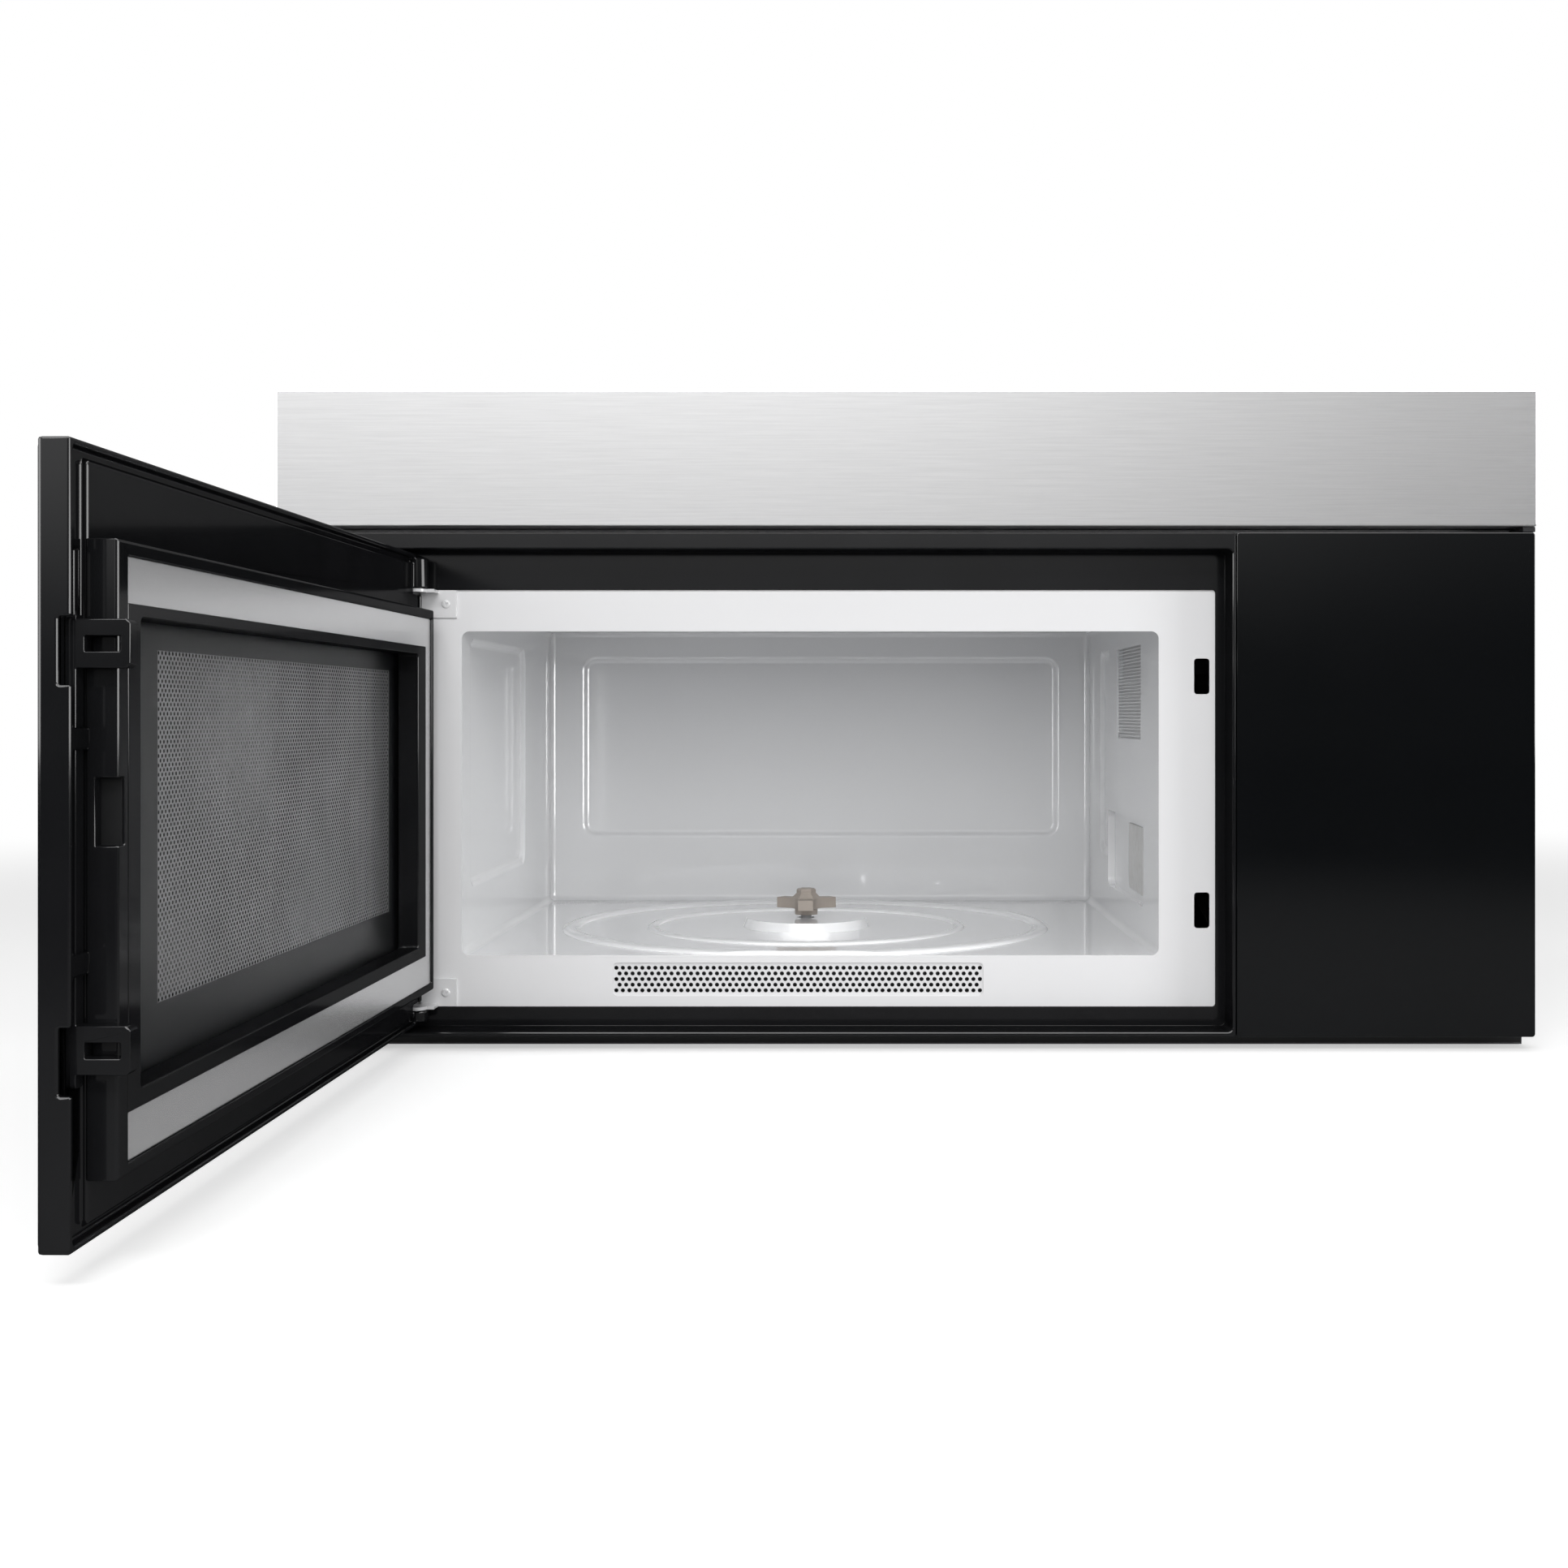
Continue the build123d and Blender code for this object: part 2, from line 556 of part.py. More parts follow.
with BuildPart() as turntable_coupler:
    with BuildSketch(Plane.XY.offset(coupler_low)):
        with Locations((turntable_x, turntable_y)):
            Circle(COLLAR_RADIUS)
    extrude(amount=COUPLER_COLLAR)
    with BuildSketch(Plane.XY.offset(arms_low)):
        with Locations((turntable_x, turntable_y)):
            RegularPolygon(ARM_WIDTH, 6)
            with PolarLocations(ARM_RADIUS / 2, 3, start_angle=30):
                Rectangle(ARM_RADIUS, ARM_WIDTH)
    extrude(amount=ARM_THICK)
    # boss with a flared foot
    with BuildSketch(Plane.XY.offset(arms_low + ARM_THICK)):
        with Locations((turntable_x, turntable_y)):
            RegularPolygon(ARM_WIDTH, 6)
    with BuildSketch(Plane.XY.offset(arms_low + ARM_THICK + BOSS_FLARE)):
        with Locations((turntable_x, turntable_y)):
            RegularPolygon(BOSS_RADIUS, 6)
    loft()
    with BuildSketch(Plane.XY.offset(arms_low + ARM_THICK + BOSS_FLARE)):
        with Locations((turntable_x, turntable_y)):
            RegularPolygon(BOSS_RADIUS, 6)
    extrude(amount=BOSS_HEIGHT - BOSS_FLARE)
    chamfer(turntable_coupler.faces().sort_by(Axis.Z)[-1].edges(), 1)
    with BuildSketch(Plane.XY.offset(coupler_low)):
        with Locations((turntable_x, turntable_y)):
            Circle(SHAFT_RADIUS + SHAFT_CLEARANCE)
    extrude(amount=COUPLER_BORE, mode=Mode.SUBTRACT)

# ---- case ------------------------------------------------------------------------------------------------
scroll_width = WHEEL_WIDTH + 4 * WALL
scroll_radius = WHEEL_RADIUS + SCROLL_GAP
duct_back = -DUCT_SETBACK
duct_front = duct_back - DUCT_DEPTH
blower_y = duct_back - scroll_radius
blower_z = BODY_HEIGHT - SHEET - SCROLL_DROP - scroll_radius
bolt_y = front_y / 2 - 30
cord_x = half - CORD_SETIN

with BuildPart() as outer_case:
    with BuildSketch(front_plane(plate_y)):
        rect(-half, half, 0, BODY_HEIGHT)
        rect(-half + SHEET, half - SHEET, -SHEET, BODY_HEIGHT - SHEET, mode=Mode.SUBTRACT)
    extrude(amount=plate_y)
    fillet(outer_case.edges().filter_by(Axis.Y).group_by(Axis.Z)[-1], SHEET * 1.4)
    with BuildSketch(Plane.XY.offset(BODY_HEIGHT - SHEET)):
        with Locations((-SCROLL_X, (duct_back + blower_y) / 2), (SCROLL_X, (duct_back + blower_y) / 2)):
            Rectangle(scroll_width - 2 * WALL, duct_back - blower_y - 2 * WALL)
        with Locations((0, bolt_y)):
            with GridLocations(BOLT_SPACING, 0, 2, 1):
                Circle(BOLT_RADIUS)
        with Locations((cord_x, -CORD_SETBACK)):
            Circle(GROMMET_RADIUS)
    extrude(amount=SHEET, mode=Mode.SUBTRACT)

with BuildPart() as rear_plate:
    with BuildSketch(front_plane(0)):
        rect(-half + SHEET, half - SHEET, 0, BODY_HEIGHT - SHEET)
        with Locations((0, WALL_HOOK_RISE)):
            with GridLocations(2 * (half - WALL_HOOK_SETIN), 0, 2, 1):
                SlotOverall(60, 10, mode=Mode.SUBTRACT)
    extrude(amount=SHEET)

filter_x = BODY_WIDTH * FILTER_X
lamp_y = plate_y + LAMP_SETBACK
with BuildPart() as base_plate:
    with BuildSketch(Plane.XY):
        with Locations((0, (plate_y - SHEET) / 2)):
            Rectangle(BODY_WIDTH - 2 * SHEET, -plate_y - SHEET)
        for x in (-filter_x, filter_x):
            with Locations((x, FILTER_Y)):
                Rectangle(FILTER_WIDTH - 16, FILTER_DEPTH - 16, mode=Mode.SUBTRACT)
        with Locations((0, lamp_y)):
            Rectangle(LAMP_WIDTH - 16, LAMP_DEPTH - 14, mode=Mode.SUBTRACT)
        with Locations((half - 70, lamp_y + 30)):
            with GridLocations(0, 9, 1, AIR_SLOTS):
                Rectangle(60, 4, mode=Mode.SUBTRACT)
    extrude(amount=SHEET)
    # side flanges, for the case
    for side in (-1, 1):
        with BuildSketch(Plane.XY.offset(SHEET)):
            with Locations((side * (half - 1.5 * SHEET), plate_y / 2)):
                Rectangle(SHEET, -plate_y - 6 * SHEET)
        extrude(amount=FLANGE)

grease_filters = {}
for side, place in ((-1, "left"), (1, "right")):
    with BuildPart() as grease_filter:
        with BuildSketch(Plane.XY.offset(SHEET)):
            with Locations((side * filter_x, FILTER_Y)):
                RectangleRounded(FILTER_WIDTH, FILTER_DEPTH, 8)
        extrude(amount=FILTER_HEIGHT)
        # both faces are sunk inside the rim, and diagonal ribs carry the mesh
        for level in (SHEET, SHEET + FILTER_HEIGHT - 2):
            with BuildSketch(Plane.XY.offset(level)):
                with Locations((side * filter_x, FILTER_Y)):
                    Rectangle(FILTER_WIDTH - 2 * FILTER_RIM, FILTER_DEPTH - 2 * FILTER_RIM)
            extrude(amount=2, mode=Mode.SUBTRACT)
        with BuildSketch(Plane.XY.offset(SHEET)):
            with Locations((side * filter_x, FILTER_Y)):
                with GridLocations((FILTER_WIDTH - 2 * FILTER_RIM) / FILTER_RIBS, 0, FILTER_RIBS, 1):
                    Rectangle(3, FILTER_DEPTH - 2 * FILTER_RIM + 4)
        extrude(amount=2)
    grease_filters[place] = grease_filter

with BuildPart() as cooktop_lamp_lens:
    with BuildSketch(Plane.XY.offset(SHEET)):
        with Locations((0, lamp_y)):
            RectangleRounded(LAMP_WIDTH, LAMP_DEPTH, 4)
    extrude(amount=LAMP_EDGE)

with BuildPart() as cooktop_lamp_housing:
    with BuildSketch(Plane.XY.offset(SHEET + LAMP_EDGE)):
        with Locations((0, lamp_y)):
            Rectangle(LAMP_WIDTH, LAMP_DEPTH)
    extrude(amount=LAMP_HOUSING, taper=12)
    offset(amount=-SHEET, openings=cooktop_lamp_housing.faces().sort_by(Axis.Z)[0])

with BuildPart() as cooktop_lamp_bulbs:
    with BuildSketch(Plane.XY.offset(LAMP_EDGE + LAMP_HOUSING)):
        with Locations((0, lamp_y)):
            with GridLocations(70, 0, 2, 1):
                Circle(BULB_RADIUS)
    extrude(amount=-14)

with BuildPart() as cord_grommet:
    with BuildSketch(Plane.XY.offset(BODY_HEIGHT)):
        with Locations((cord_x, -CORD_SETBACK)):
            Circle(GROMMET_FLANGE)
            Circle(CORD_RADIUS, mode=Mode.SUBTRACT)
    extrude(amount=2)
    with BuildSketch(Plane.XY.offset(BODY_HEIGHT)):
        with Locations((cord_x, -CORD_SETBACK)):
            Circle(GROMMET_RADIUS - SHAFT_CLEARANCE)
            Circle(CORD_RADIUS, mode=Mode.SUBTRACT)
    extrude(amount=-6)

# ---- hinge -----------------------------------------------------------------------------------------------
leaf_left = pin_x - 1
brackets = {}
hinge_levels = {"upper": (arm_top - HINGE_ARM, arm_top - LEAF_HEIGHT), "lower": (arm_bottom, arm_bottom)}
for place, (arm_z, leaf_low) in hinge_levels.items():
    with BuildPart() as hinge_bracket:
        with BuildSketch(front_plane(plate_y)):
            rect(leaf_left, leaf_left + LEAF_WIDTH, leaf_low, leaf_low + LEAF_HEIGHT)
        extrude(amount=HINGE_LEAF)
        with BuildSketch(Plane.XY.offset(arm_z)):
            with Locations((pin_x + 5, (pin_y + plate_y) / 2)):
                Rectangle(10, plate_y - pin_y)
            with Locations((pin_x, pin_y)):
                Circle(ARM_END)
                Circle(RIVET_RADIUS, mode=Mode.SUBTRACT)
        extrude(amount=HINGE_ARM)
    brackets[place] = hinge_bracket

with BuildPart() as hinge_pins:
    for seat, upwards, length in ((arm_top, 1, PIN_LENGTH), (arm_bottom, -1, PIN_LENGTH / 2)):
        with BuildSketch(Plane.XY.offset(seat)):
            with Locations((pin_x, pin_y)):
                Circle(PIN_RADIUS)
        extrude(amount=upwards * length)
        with BuildSketch(Plane.XY.offset(seat)):
            with Locations((pin_x, pin_y)):
                Circle(RIVET_RADIUS - PIN_CLEARANCE)
        extrude(amount=-upwards * HINGE_ARM)

# ---- door ------------------------------------------------------------------------------------------------
choke_left = pin_x + 2
choke_right = door_right - 16
choke_bottom = door_bottom + 22.1
choke_top = door_top - 34.2
pan_left = choke_left + CHOKE_EDGE
pan_right = choke_right - CHOKE_EDGE - 1
pan_bottom = choke_bottom + 4.5
pan_top = choke_top - 5.6
flange_depth = DOOR_THICKNESS - SHEET

window_left = pin_x + 40
window_right = choke_right - 21
window_bottom = choke_bottom + 29.5
window_top = choke_top - 27.6
bezel_left = choke_left + 20
bezel_right = choke_right - STILE
bezel_bottom = choke_bottom + 22.5
bezel_top = choke_top - 22.7
channel_left = choke_right
channel_right = door_right - RIM

with BuildPart() as door_outer_frame:
    with BuildSketch(door_plane(0)):
        rect(door_left, door_right, door_bottom, door_top)
    extrude(amount=-DOOR_FRAME)
    upright_edges = door_outer_frame.edges().filter_by(Axis.Z)
    fillet(upright_edges.group_by(door_free_end)[0].sort_by(door_outwards)[-1], HINGE_EDGE)
    upright_edges = door_outer_frame.edges().filter_by(Axis.Z)
    fillet(upright_edges.group_by(door_free_end)[-1].sort_by(door_outwards)[-1], FREE_EDGE)
    with BuildSketch(door_plane(0)):
        rect(door_left + 9, door_right - 2.6, door_bottom + 2.5, door_top - 2.5)
    extrude(amount=-GLASS, mode=Mode.SUBTRACT)
    # inner side: a rim, a groove inside it and a land that is 1 mm lower than the rim
    with BuildSketch(door_plane(LAND)):
        rect(door_left + RIM, door_right - RIM, door_bottom + 2.5, door_top - 2.5, 2)
    extrude(amount=-5, mode=Mode.SUBTRACT)
    with BuildSketch(door_plane(LAND - GROOVE)):
        rect(door_left + RIM, door_right - RIM, door_bottom + 2.5, door_top - 2.5, 2)
        rect(
            door_left + 2 * RIM,
            channel_left - 1,
            door_bottom + 2 * RIM,
            door_top - 2 * RIM,
            2,
            Mode.SUBTRACT,
        )
    extrude(amount=-5, mode=Mode.SUBTRACT)
    # seat of the steel panel, window and latch channel
    with BuildSketch(door_plane(PAN_DEPTH)):
        rect(pan_left - 0.5, pan_right + 0.5, pan_bottom - 0.5, pan_top + 0.5)
        rect(channel_left, channel_right, pan_bottom + 8, pan_top + 2)
    extrude(amount=-DOOR_FRAME, mode=Mode.SUBTRACT)
    with BuildSketch(door_plane(0)):
        rect(window_left + 1, window_right - 50, window_bottom + 16, window_top - 5)
    extrude(amount=-DOOR_FRAME, mode=Mode.SUBTRACT)
    # keepers over the latch lever, and gaps in the rim beside its hooks
    with BuildSketch(door_plane(LAND)):
        for level in (latch_middle - 40, latch_middle + 40):
            with Locations(((channel_left + channel_right) / 2, level)):
                Rectangle(channel_right - channel_left, 8)
    extrude(amount=-SHEET)
    with BuildSketch(door_plane(PAN_DEPTH + 1)):
        for level in slot_levels:
            rect(channel_right - 1, door_right + 1, level - 13, level + 11)
    extrude(amount=-DOOR_FRAME, mode=Mode.SUBTRACT)
    # pin housings, bored for the hinge pins, and clearance for the hinge arms
    for seat, end, reach in (
        (arm_top + 0.3, door_top - 2.5, PIN_LENGTH + 1),
        (arm_bottom - 0.3, door_bottom + 2.5, PIN_LENGTH * 0.5 + 0.6),
    ):
        upwards = 1 if end > seat else -1
        with BuildSketch(Plane.XY.offset(seat)):
            with Locations((pin_x, pin_y)):
                Circle(6.5)
        extrude(amount=end - seat)
        with BuildSketch(Plane.XY.offset(seat)):
            with Locations((pin_x, pin_y)):
                Circle(PIN_RADIUS + PIN_CLEARANCE)
        extrude(amount=upwards * reach, mode=Mode.SUBTRACT)
    with BuildSketch(door_plane(5.5)):
        rect(door_left - 1, pin_x + 6.5, arm_top - HINGE_ARM - ARM_CLEARANCE, arm_top + 0.3)
        rect(door_left - 1, pin_x + 6.5, arm_bottom - 0.3, arm_bottom + HINGE_ARM + ARM_CLEARANCE)
    extrude(amount=-DOOR_FRAME, mode=Mode.SUBTRACT)

with BuildPart() as door_outer_glass:
    with BuildSketch(door_plane(0)):
        rect(door_left + 9, door_right - 2.6, door_bottom + 2.5, door_top - 2.5)
    extrude(amount=-GLASS)

with BuildPart() as door_screen_panel:
    with BuildSketch(door_plane(PAN_DEPTH)):
        rect(pan_left, pan_right, pan_bottom, pan_top)
    extrude(amount=PAN_DEPTH - flange_depth)
    offset(amount=-PAN_SHEET, openings=door_screen_panel.faces().sort_by(door_outwards)[0])
    # the flange that shows as a silver band above, below and beside the window bezel
    with BuildSketch(door_plane(flange_depth)):
        rect(pan_left, pan_right, pan_bottom, pan_top)
        rect(
            bezel_left + BEZEL_LAP,
            bezel_right - BEZEL_LAP,
            bezel_bottom + BEZEL_LAP,
            bezel_top - BEZEL_LAP,
            mode=Mode.SUBTRACT,
        )
    extrude(amount=PAN_SHEET)

with BuildPart() as door_inner_pane:
    with BuildSketch(door_plane(PAN_DEPTH + PAN_SHEET)):
        rect(window_left - 5, window_right + 5, window_bottom - 4, window_top + 4)
    extrude(amount=-PANE)
pane_back = PAN_DEPTH + PAN_SHEET + PANE

with BuildPart() as door_choke_cover:
    with BuildSketch(door_plane(LAND)):
        rect(choke_left, choke_right, choke_bottom, choke_top)
        rect(pan_left, pan_right, pan_bottom, pan_top, mode=Mode.SUBTRACT)
    extrude(amount=LAND - DOOR_THICKNESS)
    chamfer(door_choke_cover.faces().sort_by(door_outwards)[0].outer_wire().edges(), CHOKE_BEVEL)
    # the stile reaches over the panel's edge beside the latch
    with BuildSketch(door_plane(flange_depth)):
        rect(bezel_right, pan_right + 1, pan_bottom - 1, pan_top + 1)
    extrude(amount=-SHEET)
    with BuildSketch(door_plane(LAND + 3)):
        notch_low = latch_middle + NOTCH_RISE
        rect(pan_right, choke_right + 1, notch_low, notch_low + NOTCH_HEIGHT)
    extrude(amount=-DOOR_THICKNESS, mode=Mode.SUBTRACT)

with BuildPart() as door_window_bezel:
    with BuildSketch(door_plane(flange_depth)):
        rect(bezel_left, bezel_right, bezel_bottom, bezel_top)
    extrude(amount=-SHEET)
    with BuildSketch(door_plane(pane_back)):
        rect(window_left - 2, window_right + 2, window_bottom - 2, window_top + 2, 3)
    extrude(amount=pane_back - flange_depth)
    with BuildSketch(door_plane(DOOR_THICKNESS)):
        rect(window_left, window_right, window_bottom, window_top, WINDOW_CORNER)
    extrude(amount=DOOR_THICKNESS - pane_back, mode=Mode.SUBTRACT)

lever_left = latch_x - HOOK_WIDTH / 2
lever_right = latch_x + HOOK_WIDTH / 2
hook_base = LAND - 0.4
with BuildPart() as latch_lever:
    with BuildSketch(door_plane(PAN_DEPTH + 0.3)):
        rect(lever_left, lever_right, slot_levels[0] - LEVER_END, slot_levels[1] + LEVER_END, 2)
    extrude(amount=PAN_DEPTH + 0.3 - hook_base)
    for level in slot_levels:
        hook_top = level + LATCH_SLOT_HEIGHT / 2 - 0.5
        with BuildSketch(door_plane(hook_base)):
            rect(lever_left, lever_right, hook_top - HOOK_HEIGHT, hook_top)
        extrude(amount=hook_base - HOOK_REACH)
        # window that drops over the catch
        with BuildSketch(door_plane(hook_base + 3)):
            with Locations((latch_x, hook_top - HOOK_HEIGHT / 2)):
                Rectangle(HOOK_WIDTH, HOOK_WINDOW)
        extrude(amount=hook_base + 6.5 - HOOK_REACH, mode=Mode.SUBTRACT)
    tips = latch_lever.faces().sort_by(door_outwards)[:2].edges().filter_by(door_free_end)
    chamfer(tips, 1.5)

# ---- latch side of the case ------------------------------------------------------------------------------
latch_back = plate_y + SHEET
with BuildPart() as latch_bracket:
    with BuildSketch(front_plane(latch_back)):
        rect(latch_x - 15, latch_x + 13, latch_middle - 100, latch_middle + 100, 3)
        for level in slot_levels:
            with Locations((latch_x, level)):
                Rectangle(LATCH_SLOT_WIDTH + 2, LATCH_SLOT_HEIGHT + 2, mode=Mode.SUBTRACT)
    extrude(amount=-3)
    with BuildSketch(front_plane(latch_back + 3)):
        rect(latch_x + 10.5, latch_x + 13, latch_middle - 100, latch_middle + 100)
        for level in slot_levels:
            rect(latch_x - 6, latch_x + 13, level - 16, level - 13)
    extrude(amount=-22)

with BuildPart() as interlock_switches:
    for level in (slot_levels[0] + 20, slot_levels[0] + 34, slot_levels[1] - 36):
        with BuildSketch(front_plane(latch_back + 3)):
            with Locations((latch_x + 0.5, level)):
                Rectangle(20, 10)
        extrude(amount=-16)

# ---- magnetron, transformer, capacitor -------------------------------------------------------------------
magnetron_x = guide_x + GUIDE_WIDTH
with BuildPart() as magnetron:
    # yoke, open at the front and the back, with the anode and its cooling fins between the two magnets
    yoke_low = magnetron_z - MAGNETRON_BELOW
    yoke_high = magnetron_z + MAGNETRON_ABOVE
    yoke_end = magnetron_x + MAGNETRON_WIDTH
    with BuildSketch(front_plane(magnetron_y + MAGNETRON_LENGTH / 2)):
        rect(magnetron_x, yoke_end, yoke_low, yoke_high)
        rect(magnetron_x + 2, yoke_end - 2, yoke_low + 2, yoke_high - 2, mode=Mode.SUBTRACT)
    extrude(amount=MAGNETRON_LENGTH)
    with BuildSketch(side_plane(magnetron_x + 2)):
        with Locations((magnetron_y, magnetron_z)):
            RegularPolygon(19, 8)
    extrude(amount=MAGNETRON_WIDTH - 4)
    for step in range(MAGNETRON_FINS):
        with BuildSketch(side_plane(magnetron_x + 20 + step * FIN_PITCH)):
            with Locations((magnetron_y, (yoke_low + yoke_high) / 2)):
                Rectangle(MAGNETRON_LENGTH - 6, yoke_high - yoke_low - 4)
    extrude(amount=0.8)
    # antenna into the waveguide, and the filter box behind
    with BuildSketch(side_plane(magnetron_x)):
        with Locations((magnetron_y, magnetron_z)):
            Circle(ANTENNA_RADIUS)
    extrude(amount=6 - GUIDE_WIDTH)
    with BuildSketch(side_plane(yoke_end)):
        with Locations((magnetron_y, (yoke_low + yoke_high) / 2)):
            Rectangle(50, 46)
    extrude(amount=FILTER_BOX)

shelf_left = guide_x + 2
with BuildPart() as component_shelf:
    # a raised floor for the electrical parts, over the grease filter
    with BuildSketch(front_plane(cavity_back)):
        rect(shelf_left, half - 3 * SHEET, SHEET, SHELF_TOP)
        rect(shelf_left + SHEET, half - 4 * SHEET, 0, SHELF_TOP - SHEET, mode=Mode.SUBTRACT)
        rect(shelf_left - SHEET, shelf_left + 2 * SHEET, 0, SHELF_TOP - 12, mode=Mode.SUBTRACT)
    extrude(amount=CAVITY_DEPTH - 30)

transformer_x = guide_x + GUIDE_WIDTH + 60
transformer_y = plate_y + 180
core_middle = SHELF_TOP + CORE_FOOT + CORE_HEIGHT / 2
with BuildPart() as transformer_core:
    with BuildSketch(front_plane(transformer_y + CORE_STACK / 2)):
        with Locations((transformer_x, core_middle)):
            Rectangle(CORE_WIDTH, CORE_HEIGHT)
            with GridLocations(LIMB + CORE_WINDOW, 0, 2, 1):
                Rectangle(CORE_WINDOW, 2 * CORE_WINDOW, mode=Mode.SUBTRACT)
    extrude(amount=CORE_STACK)
    with BuildSketch(Plane.XY.offset(SHELF_TOP)):
        with Locations((transformer_x, transformer_y)):
            Rectangle(CORE_WIDTH, CORE_STACK + 28)
    extrude(amount=CORE_FOOT)

with BuildPart() as transformer_windings:
    # primary above, secondary below, both round the middle limb
    for low, high, reach in ((21, 37, 14), (41, 59, 12)):
        with BuildSketch(Plane.XY.offset(SHELF_TOP + low)):
            with Locations((transformer_x, transformer_y)):
                RectangleRounded(LIMB + CORE_WINDOW - 1, CORE_STACK + 2 * reach, 8)
                Rectangle(LIMB + 0.2, CORE_STACK + 0.2, mode=Mode.SUBTRACT)
        extrude(amount=high - low)

with BuildPart() as hv_capacitor:
    with BuildSketch(Plane.XY.offset(SHELF_TOP)):
        with Locations((transformer_x + 10, transformer_y - 92)):
            SlotOverall(CAPACITOR_LENGTH, CAPACITOR_DEPTH)
    extrude(amount=CAPACITOR_HEIGHT)
    with BuildSketch(Plane.XY.offset(SHELF_TOP + CAPACITOR_HEIGHT)):
        with Locations((transformer_x + 10, transformer_y - 92)):
            with GridLocations(30, 0, 2, 1):
                Rectangle(6.3, 0.8)
    extrude(amount=9)

# ---- cooling fan -----------------------------------------------------------------------------------------
fan_x = transformer_x + 8
fan_y = cavity_back - 32
fan_z = FAN_HEIGHT
with BuildPart() as fan_shroud:
    with BuildSketch(front_plane(fan_y)):
        rect(fan_x - 76, half - 3 * SHEET, SHELF_TOP, fan_z + 76)
        with Locations((fan_x, fan_z)):
            Circle(FAN_RADIUS + FAN_TIP_GAP, mode=Mode.SUBTRACT)
    extrude(amount=-2)
    # spider that carries the motor
    with BuildSketch(front_plane(fan_y)):
        with Locations((fan_x, fan_z)):
            with PolarLocations(FAN_RADIUS / 2 + 12, 4, start_angle=45):
                Rectangle(FAN_RADIUS - 14, 6)
            Rectangle(36, 36)
            Circle(SHAFT_RADIUS + 1, mode=Mode.SUBTRACT)
    extrude(amount=-2)

with BuildPart() as fan_motor:
    with BuildSketch(front_plane(fan_y + 2)):
        with Locations((fan_x, fan_z)):
            Rectangle(48, 40)
            Circle(SHAFT_RADIUS + SHAFT_CLEARANCE, mode=Mode.SUBTRACT)
    extrude(amount=-FAN_MOTOR_LENGTH)

with BuildPart() as fan_impeller:
    with BuildSketch(front_plane(fan_y - 1)):
        with Locations((fan_x, fan_z)):
            Circle(13)
    extrude(amount=14)
    with BuildSketch(front_plane(fan_y - 1)):
        with Locations((fan_x, fan_z)):
            Circle(SHAFT_RADIUS)
    extrude(amount=-20)
    for blade in range(FAN_BLADES):
        turn = blade * 360 / FAN_BLADES
        pitch = radians(FAN_PITCH)
        blade_plane = Plane(
            origin=(fan_x, fan_y - 8, fan_z),
            x_dir=(cos(radians(turn)), 0, sin(radians(turn))),
            z_dir=(-sin(radians(turn)) * sin(pitch), cos(pitch), cos(radians(turn)) * sin(pitch)),
        )
        with BuildSketch(blade_plane):
            with Locations((FAN_RADIUS / 2 + 5, 0)):
                Rectangle(FAN_RADIUS - 12, 24)
        extrude(amount=0.7, both=True)

# ---- blower ----------------------------------------------------------------------------------------------
blower_scrolls = {}
for side, place in ((-1, "left"), (1, "right")):
    near = side * SCROLL_X - scroll_width / 2
    with BuildPart() as blower_scroll:
        with BuildSketch(side_plane(near)):
            with Locations((blower_y, blower_z)):
                Circle(scroll_radius)
            rect(blower_y, duct_back, blower_z, BODY_HEIGHT - SHEET)
        extrude(amount=scroll_width)
        with BuildSketch(side_plane(near + WALL)):
            with Locations((blower_y, blower_z)):
                Circle(scroll_radius - WALL)
            rect(blower_y + WALL, duct_back - WALL, blower_z, BODY_HEIGHT)
        extrude(amount=scroll_width - 2 * WALL, mode=Mode.SUBTRACT)
        # inlet on the outer side, and a hole for the shaft
        with BuildSketch(side_plane(side * (SCROLL_X + scroll_width / 2 - WALL))):
            with Locations((blower_y, blower_z)):
                Circle(WHEEL_RADIUS - BLADE_CHORD)
        extrude(amount=side * WALL, mode=Mode.SUBTRACT)
        with BuildSketch(side_plane(side * (SCROLL_X - scroll_width / 2))):
            with Locations((blower_y, blower_z)):
                Circle(2 * SHAFT_RADIUS)
        extrude(amount=side * WALL, mode=Mode.SUBTRACT)
    blower_scrolls[place] = blower_scroll

motor_half = SCROLL_X - scroll_width / 2
with BuildPart() as blower_motor:
    with BuildSketch(side_plane(BLOWER_MOTOR_END - motor_half)):
        with Locations((blower_y, blower_z)):
            Circle(BLOWER_MOTOR_RADIUS)
    extrude(amount=2 * (motor_half - BLOWER_MOTOR_END))
    # feet that bolt to the scrolls
    with BuildSketch(side_plane(-motor_half)):
        with Locations((blower_y, blower_z)):
            with PolarLocations(BLOWER_MOTOR_RADIUS + BLOWER_FOOT / 4, 3, start_angle=90):
                Rectangle(BLOWER_FOOT, BLOWER_FOOT)
    extrude(amount=2 * motor_half)
    with BuildSketch(side_plane(-motor_half)):
        with Locations((blower_y, blower_z)):
            Circle(SHAFT_RADIUS + SHAFT_CLEARANCE)
    extrude(amount=2 * motor_half, mode=Mode.SUBTRACT)

shaft_half = SCROLL_X - WHEEL_WIDTH / 2 + 18
with BuildPart() as blower_shaft:
    with BuildSketch(side_plane(-shaft_half)):
        with Locations((blower_y, blower_z)):
            Circle(SHAFT_RADIUS)
    extrude(amount=2 * shaft_half)

